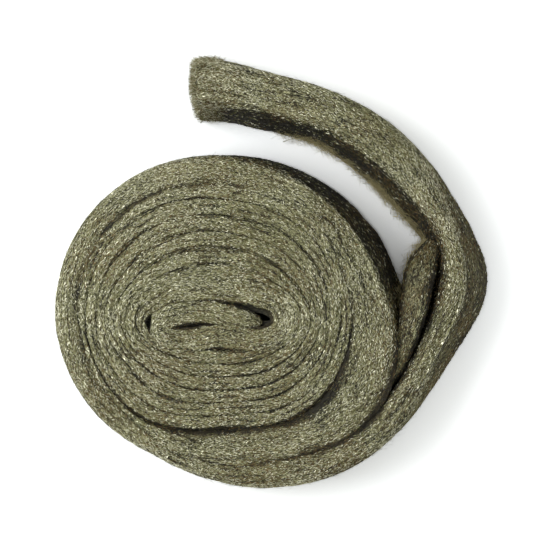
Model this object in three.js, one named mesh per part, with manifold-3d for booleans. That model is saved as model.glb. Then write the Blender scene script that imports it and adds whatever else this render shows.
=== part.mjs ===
// Roll of steel wool: one long ribbon of loose steel fibres, wound flat on itself and lying on its
// side, with the outer end left free. The free tail bends sharply away from the roll, turns back
// over it and ends in a blunt cut. The ribbon's turns are pressed together, so the roll is one solid
// with a groove along every turn, on its top and on its underside.
// Millimetres, +Z up. The origin is at the middle of the part's footprint, on the bench.

import * as THREE from 'three';
import { mergeVertices } from 'three/addons/utils/BufferGeometryUtils.js';
import Module from 'manifold-3d';

// Ribbon
const RIBBON_HEIGHT = 40;        // the ribbon stands on its edge, so this is the roll's height
const PRESS = 0.8;               // how far neighbouring turns sink into each other
const CROWN = 2.6;               // drop from a turn's crest to the groove beside it
const FOOT_ROUND = 1.1;          // rounding along the edges that rest on the bench
const GROOVE_DEPTH = 4.5;        // below this the turns are felted into each other
const ROUNDING_REACH = 12;       // a rounded top edge reaches in this far at most

// Uneven wool: both sides of the crest fall and rise along the ribbon, and a wide turn has a crease
// along its middle that comes and goes.
const CREST_FALL = 1.4;          // how far a side of the crest falls at most
const WOUND_BEATS = 10.3;        // falls to a turn in the wound turns
const OUTER_BEATS = 16.4;        // and in the outer turns
const CORE_BEAT = 19;            // millimetres from one fall to the next in the core
const INNER_BEAT_SHARE = 0.83;   // the crest's inner side falls this much less often
const CREASE = 3.0;              // depth of the crease at its deepest
const CREASE_SHARE = 0.21;       // it comes and goes this often for each fall
const CREASED_FROM = 9;          // thickness at which a turn starts to be creased
const CREASED_FULLY = 16;        // and at which it is fully creased

// Core: the ribbon's inner end, folded flat to and fro with a slight ripple. The points are on the
// middle of its thickness, from the winding's middle, inner end first.
const CORE_FOLDS = [
  [7.0, 0.2], [-0.4, 2.0], [-8.5, 4.0], [-16.6, 3.1], [-23.6, 0.6], [-28.2, -3.2],
  [-24.0, -7.2], [-14.2, -7.9], [-4.1, -6.1], [6.1, -7.3], [15.0, -7.4], [21.5, -4.1],
  [23.1, 1.6], [19.9, 7.7], [11.8, 11.0], [2.0, 12.6], [-8.1, 13.0], [-18.3, 11.6],
  [-27.2, 8.4], [-32.9, 4.7], [-35.3, 0.0],
];
const FOLD_THICKNESS = 9.8;
const PINCH = 1.5;               // a bend squeezes the ribbon to this share of its radius
const JOIN_LENGTH = 14;          // over which the folded ribbon thins to the wound turns
const HOLLOW = { x: 13.6, y: 2.3, length: 9.4, width: 3.4, depth: 16, turned: -20 };

// Wound turns: from the core's oval outwards to an outer oval, about the winding's middle. The
// outer oval is given by its distance every 45 degrees, starting from +X.
const CORE_OVAL = { x: -4.9, y: 0.8, halfLength: 32.5, halfWidth: 17.0 };
const OUTER_OVAL = [50.0, 53.2, 54.2, 60.3, 59.0, 54.8, 44.3, 49.4];
const WOUND_TURNS = 5.5;
const FULL_TURN = 360;           // degrees
const OUTER_START = 360;         // degrees; past this the ribbon is wound loosely
const EASING = 20;               // degrees over which one rule gives way to the next

// Outer turns: the groove along the ribbon's outer face, as [degrees, distance], where 0 degrees
// is the point at which the wound turns reach the outer oval.
const OUTER_FACE = [
  [-20, 51.0],
  [0, 50.2], [20, 50.2], [45, 53.2], [70, 53.6], [90, 54.2], [113, 57.6], [135, 60.3],
  [158, 60.4], [180, 59.0], [205, 56.8], [225, 55.0], [245, 57.2], [270, 59.2], [286, 59.4],
  [305, 64.2], [318, 68.8], [330, 71.2], [341, 72.8], [352, 73.2], [360, 72.8], [374, 72.0],
  [387, 71.0], [405, 69.4], [420, 68.2], [450, 67.2], [480, 68.9], [502, 69.8], [520, 69.8],
  [540, 69.0], [560, 66.8], [580, 64.4], [600, 62.0], [612, 62.7], [630, 65.4], [640, 68.0],
  [650, 70.6], [660, 73.8], [670, 77.1], [680, 80.6], [690, 84.0], [700, 87.5], [710, 93.0],
  [716, 98.2], [722, 103.8], [727, 107.6], [732, 108.8], [740, 107.2], [750, 105.4],
  [760, 104.8], [770, 104.4], [780, 103.4], [790, 102.6], [800, 102.6], [808, 105.0],
  [815, 107.6],
];

// Free tail: the distance of its inner face where it has left the turn below it, and how far the
// two faces lean back at the top.
const TAIL_START = 700;          // degrees
const PARTS_BEFORE = 8;          // the inner face leaves the turn below over these angles, before
const PARTS_AFTER = 4;           // and after the tail's start
const TAIL_INNER_FACE = [
  [690, 71.0], [700, 73.0], [710, 75.8], [720, 79.4], [730, 83.8], [738, 86.0], [746, 84.6],
  [754, 81.8], [765, 80.6], [780, 80.0], [800, 79.0], [808, 80.2], [815, 81.8],
];
const OUTER_LEAN = [
  [0, 0], [330, 0], [352, 4.0], [372, 7.5], [390, 8.0], [405, 7.0], [425, 4.5], [450, 1.5],
  [600, 1.0], [690, 1.5], [712, 4.5], [728, 6.5], [745, 4.0], [760, 2.0], [815, 1.5],
];
const INNER_LEAN = [[0, 0], [690, 0], [712, 1.5], [730, 4.0], [745, 6.0], [780, 6.0], [815, 5.0]];
const OUTER_SHOULDER = 7.5;      // rounding along the roll's top rim
const TAIL_SHOULDER = 10.5;      // rounding along both top edges of the free tail
const TIP_LENGTH = 5;            // the cut end rounds off over this length
const TIP_NARROWING = 9;         // and loses this much of its thickness

// Tuck: where the tail bends away, the ribbon's inner layer is creased and lies lower. Each row
// holds degrees, the distances of its inner and its outer face, and its height.
const TUCK = [
  [-26, 62.5, 70.5, 34.0],
  [-10, 66.5, 75.5, 35.5],
  [0, 69.5, 78.5, 35.0],
  [10, 72.8, 82.5, 33.0],
  [16, 77.5, 86.5, 30.5],
  [22, 86.0, 91.0, 22.0],
];
const TUCK_SHOULDER = 6;

const FELTED_TURN = 354;         // degrees of the outermost turn that bound the felted wool

// Fineness of the mesh
const CORE_STEP = 3.6;           // millimetres
const WOUND_STEP = 10;           // degrees
const END_CROWDING = 10;         // brings the steps closer at the ovals' ends, in degrees
const OUTER_STEP = 6;
const SHOULDER_STEPS = 3;
const STEPS_PER_PIECE = 24;
const SMALLEST_EDGE = 0.002;     // joining leaves shorter edges, and these are taken out

const wasm = await Module();
wasm.setup();

// A smooth curve through [degrees, value, ...] rows, read at any angle.
function curve(rows) {
  const angles = rows.map(([degrees]) => degrees);
  const run = new THREE.CubicInterpolant(angles, rows.flatMap((row) => row.slice(1)), 1);
  return (degrees) => run.evaluate(
    THREE.MathUtils.clamp(degrees, angles[0], angles.at(-1)))[0];
}

// Distance from the winding's middle to the core's oval.
function coreOval(degrees) {
  const { x, y, halfLength, halfWidth } = CORE_OVAL;
  const angle = THREE.MathUtils.degToRad(degrees);
  const along = Math.cos(angle) / halfLength;
  const up = Math.sin(angle) / halfWidth;
  const square = along * along + up * up;
  const linear = (along * x) / halfLength + (up * y) / halfWidth;
  const rest = (x / halfLength) ** 2 + (y / halfWidth) ** 2 - 1;
  return (linear + Math.sqrt(linear * linear - square * rest)) / square;
}

const outerOvalRun = curve(Array.from({ length: OUTER_OVAL.length + 5 }, (_, i) => [
  45 * (i - 2), OUTER_OVAL.at((i - 2) % OUTER_OVAL.length)]));
const outerOval = (degrees) => outerOvalRun(THREE.MathUtils.euclideanModulo(degrees, FULL_TURN));
const outerFaceRun = curve(OUTER_FACE);
const tailInnerFace = curve(TAIL_INNER_FACE);
const outerLean = curve(OUTER_LEAN);
const innerLean = curve(INNER_LEAN);
const tuckFaces = [1, 2, 3].map((column) => curve(TUCK.map((row) => [row[0], row[column]])));

// How far one side of the crest falls, at a phase counted in falls.
function crestFall(phase) {
  const turns = 2 * Math.PI * phase;
  return CREST_FALL * (0.5 - 0.3 * Math.cos(turns) - 0.2 * Math.cos(0.61 * turns));
}

// The crest's shape at a phase, for a ribbon of this thickness.
function crest(phase, thickness) {
  const wide = THREE.MathUtils.smoothstep(thickness, CREASED_FROM, CREASED_FULLY);
  return {
    outerFall: crestFall(phase),
    innerFall: crestFall(INNER_BEAT_SHARE * phase + 0.4),
    crease: CREASE * wide * (0.5 - 0.5 * Math.cos(2 * Math.PI * CREASE_SHARE * phase)),
  };
}

// Distance of the ribbon's outer face at a running angle. It is also the inner face of the turn
// that lies on it.
function outerFace(degrees) {
  const share = 1 + degrees / (FULL_TURN * WOUND_TURNS);
  const wound = THREE.MathUtils.lerp(coreOval(degrees), outerOval(degrees), share);
  const blend = THREE.MathUtils.smoothstep(degrees, -EASING, EASING);
  return THREE.MathUtils.lerp(wound, outerFaceRun(degrees), blend);
}

function innerFace(degrees) {
  const parted = TAIL_START + PARTS_AFTER;
  const free = THREE.MathUtils.smoothstep(degrees, TAIL_START - PARTS_BEFORE, parted);
  const wound = outerFace(Math.min(degrees, parted) - FULL_TURN);
  return THREE.MathUtils.lerp(wound, tailInnerFace(degrees), free);
}

// The ribbon's stations, from its inner end to the cut end of its tail: the middle of its
// thickness, the direction outwards, how thick it is, how its faces lean back and how far its top
// edges drop as they round off.
function woundStation(degrees) {
  const angle = THREE.MathUtils.degToRad(degrees);
  const outwards = new THREE.Vector2(Math.cos(angle), Math.sin(angle));
  const inner = innerFace(degrees);
  const outer = outerFace(degrees);
  const free = THREE.MathUtils.smoothstep(degrees, TAIL_START - EASING, TAIL_START + EASING);
  const rim = THREE.MathUtils.smoothstep(degrees, OUTER_START - EASING, OUTER_START + EASING);
  const thickness = outer - inner + PRESS * (1 - free);
  const phase = (WOUND_BEATS * Math.min(degrees, OUTER_START)
    + OUTER_BEATS * Math.max(degrees - OUTER_START, 0)) / FULL_TURN;
  return {
    ...crest(phase, thickness),
    point: outwards.clone().multiplyScalar((inner + outer) / 2),
    outwards,
    thickness,
    outerLean: outerLean(degrees),
    innerLean: innerLean(degrees),
    outerDrop: THREE.MathUtils.lerp(
      THREE.MathUtils.lerp(CROWN, OUTER_SHOULDER, rim), TAIL_SHOULDER, free),
    innerDrop: THREE.MathUtils.lerp(CROWN, TAIL_SHOULDER, free),
  };
}

function coreStations() {
  const path = new THREE.SplineCurve(CORE_FOLDS.map(([x, y]) => new THREE.Vector2(x, y)));
  const length = path.getLength();
  const count = Math.round(length / CORE_STEP);
  const points = path.getSpacedPoints(count);
  const joined = woundStation(-FULL_TURN * WOUND_TURNS);
  return points.slice(0, -1).map((point, i) => {
    const before = points[Math.max(i - 1, 0)];
    const after = points[i + 1];
    const heading = after.clone().sub(before).normalize();
    const turn = Math.abs(after.clone().sub(point).angleTo(point.clone().sub(before))) || 0;
    const thickness = Math.min(FOLD_THICKNESS, (PINCH * CORE_STEP) / Math.max(turn, 0.01));
    const toJoin = length * (1 - i / count);
    const join = 1 - THREE.MathUtils.smoothstep(toJoin, 0, JOIN_LENGTH);
    const phase = -WOUND_BEATS * WOUND_TURNS - toJoin / CORE_BEAT;
    return {
      ...joined,
      ...crest(phase, joined.thickness),
      point,
      outwards: new THREE.Vector2(heading.y, -heading.x),
      thickness: THREE.MathUtils.lerp(thickness, joined.thickness, join),
    };
  });
}

function stationsBetween(from, to, step, crowding = 0) {
  const count = Math.round((to - from) / step);
  return Array.from({ length: count + 1 }, (_, i) => {
    const even = from + ((to - from) * i) / count;
    return woundStation(even - crowding * Math.sin(2 * THREE.MathUtils.degToRad(even)));
  });
}

// Carries on past the last station, a little narrower, so that the cut end is rounded.
function tipStation({ outwards, ...last }) {
  const heading = new THREE.Vector2(-outwards.y, outwards.x);
  return {
    ...last,
    outwards,
    point: last.point.clone().addScaledVector(heading, TIP_LENGTH),
    thickness: last.thickness - TIP_NARROWING,
  };
}

function tuckStations() {
  const stations = [];
  for (let degrees = TUCK[0][0]; degrees <= TUCK.at(-1)[0]; degrees += OUTER_STEP) {
    const angle = THREE.MathUtils.degToRad(degrees);
    const outwards = new THREE.Vector2(Math.cos(angle), Math.sin(angle));
    const [inner, outer, height] = tuckFaces.map((face) => face(degrees));
    stations.push({
      point: outwards.clone().multiplyScalar((inner + outer) / 2),
      outwards,
      height,
      thickness: outer - inner,
      outerLean: 0,
      innerLean: 0,
      outerDrop: CROWN,
      innerDrop: TUCK_SHOULDER,
      outerFall: 0,
      innerFall: 0,
      crease: 0,
    });
  }
  return stations;
}

// Section of the ribbon, as [distance outwards from its middle, height], anticlockwise seen from
// the ribbon's inner end: the foot, the outer face, the two rounded shoulders, with the crease
// between them, and the inner face.
function section(station) {
  const half = station.thickness / 2;
  const top = station.height ?? RIBBON_HEIGHT;
  const outerTop = half - station.outerLean;
  const innerTop = half - station.innerLean;
  const across = Math.min(ROUNDING_REACH, 0.48 * (outerTop + innerTop));
  const foot = Math.min(FOOT_ROUND, 0.3 * half);
  const points = [
    [-half + foot, 0],
    [half - foot, 0],
    [half, foot],
    [outerTop, top - station.outerDrop],
  ];
  const rounded = (i, drop, fall) => {
    const angle = (Math.PI / 2) * (i / SHOULDER_STEPS);
    const crease = i === SHOULDER_STEPS ? station.crease : 0;
    return {
      inwards: across * (1 - Math.cos(angle)),
      height: top - drop * (1 - Math.sin(angle)) - fall * Math.sin(angle) - crease,
    };
  };
  for (let i = 1; i <= SHOULDER_STEPS; i += 1) {
    const { inwards, height } = rounded(i, station.outerDrop, station.outerFall);
    points.push([outerTop - inwards, height]);
  }
  for (let i = SHOULDER_STEPS; i >= 0; i -= 1) {
    const { inwards, height } = rounded(i, station.innerDrop, station.innerFall);
    points.push([-innerTop + inwards, height]);
  }
  points.push([-half, foot]);
  return points;
}

// One stretch of the ribbon as a closed solid.
function stretch(stations) {
  const sections = stations.map(section);
  const rings = stations.map(({ point, outwards }, i) => sections[i].map(
    ([across, height]) => new THREE.Vector3(
      point.x + outwards.x * across,
      point.y + outwards.y * across,
      height,
    ),
  ));
  const around = rings[0].length;
  const triangles = [];
  for (let i = 0; i + 1 < rings.length; i += 1) {
    for (let j = 0; j < around; j += 1) {
      const a = i * around + j;
      const b = i * around + ((j + 1) % around);
      triangles.push(a, b + around, b, a, a + around, b + around);
    }
  }
  const end = (outline) => THREE.ShapeUtils.triangulateShape(
    outline.map(([x, y]) => new THREE.Vector2(x, y)), []);
  const lastRing = (rings.length - 1) * around;
  end(sections[0]).forEach(([a, b, c]) => triangles.push(a, b, c));
  end(sections.at(-1)).forEach(([a, b, c]) => {
    triangles.push(lastRing + a, lastRing + c, lastRing + b);
  });
  const geometry = new THREE.BufferGeometry().setFromPoints(rings.flat());
  geometry.setIndex(triangles);
  return geometry;
}

// A flat outline raised between two heights, without the attributes that keep it from closing.
function raised(outline, from, to) {
  const geometry = new THREE.ExtrudeGeometry(new THREE.Shape(outline), {
    depth: to - from,
    bevelEnabled: false,
    curveSegments: 6,
  });
  geometry.translate(0, 0, from);
  geometry.deleteAttribute('normal');
  geometry.deleteAttribute('uv');
  return geometry;
}

// The wool between the turns, felted together from a little above the bench to the foot of the
// grooves. It ends inside the outermost turn.
function feltedGeometry() {
  const outline = stationsBetween(TAIL_START - FELTED_TURN, TAIL_START, OUTER_STEP)
    .map(({ point }) => point);
  return raised(outline, FOOT_ROUND, RIBBON_HEIGHT - GROOVE_DEPTH);
}

// The open end of the innermost fold.
function hollowGeometry() {
  const turned = THREE.MathUtils.degToRad(HOLLOW.turned);
  const outline = new THREE.EllipseCurve(
    HOLLOW.x, HOLLOW.y, HOLLOW.length / 2, HOLLOW.width / 2, 0, 2 * Math.PI, false, turned);
  return raised(outline.getPoints(16).slice(0, -1), RIBBON_HEIGHT - HOLLOW.depth, RIBBON_HEIGHT + 1);
}

function toSolid(geometry) {
  const merged = mergeVertices(geometry);
  return new wasm.Manifold(new wasm.Mesh({
    numProp: 3,
    vertProperties: new Float32Array(merged.getAttribute('position').array),
    triVerts: new Uint32Array(merged.getIndex().array),
  }));
}

function toGeometry(solid) {
  const mesh = solid.getMesh();
  const geometry = new THREE.BufferGeometry();
  geometry.setAttribute('position', new THREE.BufferAttribute(mesh.vertProperties, 3));
  geometry.setIndex(new THREE.BufferAttribute(mesh.triVerts, 1));
  return geometry;
}

function ribbonGeometry() {
  const start = -FULL_TURN * WOUND_TURNS;
  const wound = stationsBetween(start, OUTER_START, WOUND_STEP, END_CROWDING);
  const outer = stationsBetween(OUTER_START, OUTER_FACE.at(-1)[0], OUTER_STEP);
  const whole = [...coreStations(), ...wound, ...outer.slice(1), tipStation(outer.at(-1))];
  let roll = toSolid(feltedGeometry()).add(toSolid(stretch(tuckStations())));
  for (let i = 0; i + 1 < whole.length; i += STEPS_PER_PIECE) {
    roll = roll.add(toSolid(stretch(whole.slice(i, i + STEPS_PER_PIECE + 1))));
  }
  roll = roll.subtract(toSolid(hollowGeometry()));
  // Where two lengths meet end to end, the join leaves flat slivers without volume.
  const [largest] = roll.decompose().sort((a, b) => b.volume() - a.volume());
  return toGeometry(largest.simplify(SMALLEST_EDGE));
}

const wool = new THREE.MeshStandardMaterial({
  name: 'steel_wool',
  color: new THREE.Color(0.46, 0.46, 0.36),
  roughness: 0.55,
  metalness: 0.7,
});

const ribbon = new THREE.Mesh(ribbonGeometry(), wool);
ribbon.name = 'steel_wool_roll';
ribbon.geometry.computeBoundingBox();
const middle = ribbon.geometry.boundingBox.getCenter(new THREE.Vector3());
ribbon.position.set(-middle.x, -middle.y, -ribbon.geometry.boundingBox.min.z);

const group = new THREE.Group();
group.add(ribbon);

export default group;
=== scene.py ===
"""A roll of steel wool ribbon on a pale bench, seen from straight above.

The ribbon is swept along its winding by geometry nodes, and fine steel fibres are strewn over it in
the ribbon's own coordinates, so that they follow every turn. Sizes are in metres; the tables of the
winding are in millimetres.
"""

import logging
import math
from dataclasses import dataclass, field
from enum import Enum
from typing import Any, Sequence

import bmesh
import bpy
import numpy as np
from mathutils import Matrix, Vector
from mathutils.geometry import tessellate_polygon


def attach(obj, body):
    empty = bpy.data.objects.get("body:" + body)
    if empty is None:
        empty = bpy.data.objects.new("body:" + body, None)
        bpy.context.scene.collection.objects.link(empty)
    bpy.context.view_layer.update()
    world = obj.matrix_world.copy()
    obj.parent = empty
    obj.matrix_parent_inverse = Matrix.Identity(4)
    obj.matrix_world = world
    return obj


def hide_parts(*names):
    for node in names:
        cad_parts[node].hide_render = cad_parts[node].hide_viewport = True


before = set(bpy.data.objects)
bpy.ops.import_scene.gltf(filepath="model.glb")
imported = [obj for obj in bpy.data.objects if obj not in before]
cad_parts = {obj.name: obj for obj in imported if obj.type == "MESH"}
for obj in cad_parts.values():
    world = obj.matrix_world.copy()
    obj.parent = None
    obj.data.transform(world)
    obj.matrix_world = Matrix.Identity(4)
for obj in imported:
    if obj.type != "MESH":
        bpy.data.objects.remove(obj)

log = logging.getLogger("steel_wool_roll")

MM = 0.001
NODE = "steel_wool_roll"
BODY = "root"
STATION_STEP = 1.6 * MM  # between two stations of an evenly spaced guide
OFF_BENCH = 0.12 * MM  # the least that a loose fibre keeps above the bench

Row = tuple[float, ...]


class Term:
    """A socket of a node tree that can be used in Python arithmetic."""

    def __init__(self, net: "Net", socket: bpy.types.NodeSocket, vector: bool = False) -> None:
        """Wraps a socket.

        Args:
            net: The tree under construction.
            socket: An output socket in it.
            vector: Whether the socket carries a vector rather than a number.
        """
        self.net = net
        self.socket = socket
        self.vector = vector

    def _joined(self, operation: str, first: Any, second: Any) -> "Term":
        """One operation on two values, as vectors where either of them is one."""
        vector = any(isinstance(v, tuple) or getattr(v, "vector", False) for v in (first, second))
        return self.net.maths(operation, first, second, vector=vector)

    def __add__(self, other: Any) -> "Term":
        """self + other."""
        return self._joined("ADD", self, other)

    def __radd__(self, other: Any) -> "Term":
        """other + self."""
        return self._joined("ADD", other, self)

    def __sub__(self, other: Any) -> "Term":
        """self - other."""
        return self._joined("SUBTRACT", self, other)

    def __rsub__(self, other: Any) -> "Term":
        """other - self."""
        return self._joined("SUBTRACT", other, self)

    def __mul__(self, other: Any) -> "Term":
        """self * other."""
        return self._joined("MULTIPLY", self, other)

    def __rmul__(self, other: Any) -> "Term":
        """other * self."""
        return self._joined("MULTIPLY", other, self)

    def __truediv__(self, other: Any) -> "Term":
        """self / other."""
        return self._joined("DIVIDE", self, other)

    def __rtruediv__(self, other: Any) -> "Term":
        """other / self."""
        return self._joined("DIVIDE", other, self)

    def __pow__(self, other: Any) -> "Term":
        """self to the power other."""
        return self.net.maths("POWER", self, other)

    def __neg__(self) -> "Term":
        """-self."""
        return self * -1.0

    def __abs__(self) -> "Term":
        """The size without its sign."""
        return self.net.maths("ABSOLUTE", self)

    def __lt__(self, other: Any) -> "Term":
        """1 where self is less than other, or else 0."""
        return self.net.maths("LESS_THAN", self, other)

    def __gt__(self, other: Any) -> "Term":
        """1 where self is greater than other, or else 0."""
        return self.net.maths("GREATER_THAN", self, other)

    def sin(self) -> "Term":
        """The sine, of radians."""
        return self.net.maths("SINE", self)

    def cos(self) -> "Term":
        """The cosine, of radians."""
        return self.net.maths("COSINE", self)

    def least(self, other: Any) -> "Term":
        """The smaller of the two values."""
        return self.net.maths("MINIMUM", self, other)

    def most(self, other: Any) -> "Term":
        """The larger of the two values."""
        return self.net.maths("MAXIMUM", self, other)

    def between(self, low: Any, high: Any) -> "Term":
        """0 at low, 1 at high, in a straight line, and held at 0 and 1 beyond them."""
        return self.net.ramp(self, low, high, "LINEAR")

    def eased(self, low: Any, high: Any) -> "Term":
        """As between, with soft ends."""
        return self.net.ramp(self, low, high, "SMOOTHSTEP")

    def parts(self) -> tuple["Term", "Term", "Term"]:
        """The vector's three numbers."""
        node = self.net.add("ShaderNodeSeparateXYZ", {0: self})
        return tuple(Term(self.net, out) for out in node.outputs)


class Net:
    """Builds one node tree: adds nodes, sets their options and joins their sockets."""

    def __init__(self, tree: bpy.types.NodeTree) -> None:
        """Takes the tree that the nodes go into."""
        self.tree = tree

    def add(self, kind: str, links: dict | None = None, **options: Any) -> bpy.types.Node:
        """Adds a node.

        Args:
            kind: The node's type.
            links: For each input, by name or number, a Term, a socket or a plain value.
            **options: Settings of the node, set before its inputs.

        Returns:
            The new node.
        """
        node = self.tree.nodes.new(kind)
        for name, value in options.items():
            setattr(node, name, value)
        for key, value in (links or {}).items():
            self.feed(self.entry(node, key), value)
        return node

    @staticmethod
    def entry(node: bpy.types.Node, key: str | int) -> bpy.types.NodeSocket:
        """An input of the node.

        Args:
            node: The node.
            key: The input's number, or its name among those in use.

        Returns:
            The socket.
        """
        if isinstance(key, int):
            return node.inputs[key]
        return next(s for s in node.inputs if s.name == key and s.enabled)

    def feed(self, socket: bpy.types.NodeSocket, value: Any) -> None:
        """Joins a Term or socket to an input, or sets the input's own value.

        Args:
            socket: The input.
            value: What it gets; one number fills all three of a vector's.
        """
        if isinstance(value, Term):
            value = value.socket
        if isinstance(value, bpy.types.NodeSocket):
            self.tree.links.new(value, socket)
        elif socket.type == "VECTOR" and isinstance(value, (int, float)):
            socket.default_value = (value, value, value)
        else:
            socket.default_value = value

    def out(self, node: bpy.types.Node, key: str | int = 0, vector: bool = False) -> Term:
        """An output of the node.

        Args:
            node: The node.
            key: The output's number, or its name among those in use.
            vector: Whether it carries a vector.

        Returns:
            The output, ready for arithmetic.
        """
        if isinstance(key, int):
            return Term(self, node.outputs[key], vector)
        return Term(self, next(s for s in node.outputs if s.name == key and s.enabled), vector)

    def maths(self, operation: str, *values: Any, vector: bool = False) -> Term:
        """Adds a maths node.

        Args:
            operation: What it does.
            *values: What it does it to.
            vector: Whether it works on vectors.

        Returns:
            Its result.
        """
        kind = "ShaderNodeVectorMath" if vector else "ShaderNodeMath"
        node = self.add(kind, operation=operation)
        for socket, value in zip(node.inputs, values):
            self.feed(socket, value)
        return Term(self, node.outputs[0], vector)

    def ramp(self, value: Any, low: Any, high: Any, style: str) -> Term:
        """Maps low to 0 and high to 1, straight or with soft ends as the style says."""
        links = {"Value": value, "From Min": low, "From Max": high}
        return self.out(self.add("ShaderNodeMapRange", links, interpolation_type=style), "Result")

    def xyz(self, x: Any = 0.0, y: Any = 0.0, z: Any = 0.0) -> Term:
        """A vector from three numbers."""
        return self.out(self.add("ShaderNodeCombineXYZ", {0: x, 1: y, 2: z}), 0, True)

    def noise(
        self, at: Any, detail: float = 2.0, roughness: float = 0.5, curl: float = 0.0
    ) -> Term:
        """Smooth noise, mostly from 0.3 to 0.7, with one unit to each feature.

        Args:
            at: The place, as a vector.
            detail: How many finer layers it has.
            roughness: How strong they are.
            curl: How far it is bent by itself.

        Returns:
            The value there.
        """
        links = {"Vector": at, "Scale": 1.0, "Detail": detail, "Roughness": roughness,
                 "Distortion": curl}
        return self.out(self.add("ShaderNodeTexNoise", links), 0)

    def blend(self, share: Any, first: Any, second: Any, vector: bool = False) -> Term:
        """A mix of two numbers, or of two vectors.

        Args:
            share: 0 for the first and 1 for the second.
            first: One value.
            second: The other.
            vector: Whether they are vectors.

        Returns:
            The mix.
        """
        kind = "VECTOR" if vector else "FLOAT"
        node = self.add("ShaderNodeMix", {"Factor": share, "A": first, "B": second}, data_type=kind)
        return self.out(node, "Result", vector)


class NodeGroup(Net):
    """A geometry node group with named inputs."""

    SOCKETS = {
        "geometry": "NodeSocketGeometry",
        "int": "NodeSocketInt",
        "object": "NodeSocketObject",
        "material": "NodeSocketMaterial",
    }

    def __init__(self, name: str, inputs: dict[str, str]) -> None:
        """Starts a group.

        Args:
            name: The group's name.
            inputs: The kind of each named input, one of SOCKETS' keys.
        """
        super().__init__(bpy.data.node_groups.new(name, "GeometryNodeTree"))
        for label, kind in inputs.items():
            self.tree.interface.new_socket(label, in_out="INPUT", socket_type=self.SOCKETS[kind])
        self.tree.interface.new_socket(
            "Geometry", in_out="OUTPUT", socket_type="NodeSocketGeometry")
        self.entrance = self.tree.nodes.new("NodeGroupInput")
        self.exit = self.tree.nodes.new("NodeGroupOutput")

    def given(self, label: str) -> Term:
        """One of the group's own inputs."""
        return Term(self, self.entrance.outputs[label])

    def finish(self, geometry: Any) -> bpy.types.NodeTree:
        """Joins the result to the group's output and returns the tree."""
        self.feed(self.exit.inputs[0], geometry)
        return self.tree

    def nested(self, tree: bpy.types.NodeTree, links: dict) -> Term:
        """Uses another group inside this one.

        Args:
            tree: The other group.
            links: What each of its named inputs gets.

        Returns:
            Its geometry.
        """
        node = self.add("GeometryNodeGroup", node_tree=tree)
        for key, value in links.items():
            self.feed(node.inputs[key], value)
        return self.out(node)

    def attribute(self, name: str, kind: str = "FLOAT") -> Term:
        """A named attribute of the geometry that the field is read on."""
        node = self.add("GeometryNodeInputNamedAttribute", {"Name": name}, data_type=kind)
        return self.out(node, "Attribute", kind == "FLOAT_VECTOR")

    def store(self, geometry: Any, name: str, value: Any, kind: str = "FLOAT") -> Term:
        """Stores a value on each point.

        Args:
            geometry: The geometry.
            name: The attribute's name.
            value: Its value, which may vary.
            kind: The type that it is stored as.

        Returns:
            The geometry with the attribute.
        """
        links = {"Geometry": geometry, "Name": name, "Value": value}
        node = self.add(
            "GeometryNodeStoreNamedAttribute", links, data_type=kind, domain="POINT")
        return self.out(node)

    def random(self, low: float, high: float, seed: int) -> Term:
        """An even random number for each element."""
        links = {"Min": low, "Max": high, "Seed": seed}
        return self.out(self.add("FunctionNodeRandomValue", links, data_type="FLOAT"), "Value")

    def realized(self, geometry: Any) -> Term:
        """The geometry with its instances made real."""
        return self.out(self.add("GeometryNodeRealizeInstances", {0: geometry}))

    def coated(self, geometry: Any) -> Term:
        """The geometry with the group's material."""
        links = {"Geometry": geometry, "Material": self.given("Material")}
        return self.out(self.add("GeometryNodeSetMaterial", links))

    def position(self) -> Term:
        """Where each point is."""
        return self.out(self.add("GeometryNodeInputPosition"), 0, True)

    def moved(self, geometry: Any, position: Any = None, offset: Any = None) -> Term:
        """Moves a geometry's points.

        Args:
            geometry: The geometry.
            position: Where each point goes, if not where it is.
            offset: How far it is shifted, if at all.

        Returns:
            The moved geometry.
        """
        links: dict[str, Any] = {"Geometry": geometry}
        if position is not None:
            links["Position"] = position
        if offset is not None:
            links["Offset"] = offset
        return self.out(self.add("GeometryNodeSetPosition", links))


def added(name: str, data: Any) -> bpy.types.Object:
    """Puts a new object with the given data into the scene.

    Args:
        name: The object's name.
        data: Its mesh, light or camera.

    Returns:
        The object.
    """
    obj = bpy.data.objects.new(name, data)
    bpy.context.scene.collection.objects.link(obj)
    return obj


def new_material(name: str) -> tuple[bpy.types.Material, bpy.types.Node]:
    """Makes a material.

    Args:
        name: The material's name.

    Returns:
        The material and its shader node.
    """
    made = bpy.data.materials.new(name)
    made.use_nodes = True
    return made, made.node_tree.nodes["Principled BSDF"]


def curve_through(rows: Sequence[Row], at: np.ndarray) -> np.ndarray:
    """A smooth curve through (place, value) rows.

    Args:
        rows: The rows, in order of place.
        at: Where to read the curve; beyond the rows it keeps its end values.

    Returns:
        The values there. The slope at each row is the mean of the slopes beside it.
    """
    places, values = np.array(rows, float).T
    slopes = np.diff(values) / np.diff(places)
    tangents = np.concatenate([slopes[:1], (slopes[1:] + slopes[:-1]) / 2, slopes[-1:]])
    held = np.clip(at, places[0], places[-1])
    i = np.clip(np.searchsorted(places, held, side="right") - 1, 0, len(slopes) - 1)
    width = places[i + 1] - places[i]
    t = (held - places[i]) / width
    return (
        (2 * t**3 - 3 * t**2 + 1) * values[i]
        + (t**3 - 2 * t**2 + t) * width * tangents[i]
        + (3 * t**2 - 2 * t**3) * values[i + 1]
        + (t**3 - t**2) * width * tangents[i + 1]
    )


def smoothstep(value: np.ndarray, low: float, high: float) -> np.ndarray:
    """0 at low and below, 1 at high and above, with soft ends."""
    t = np.clip((value - low) / (high - low), 0, 1)
    return t * t * (3 - 2 * t)


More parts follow.
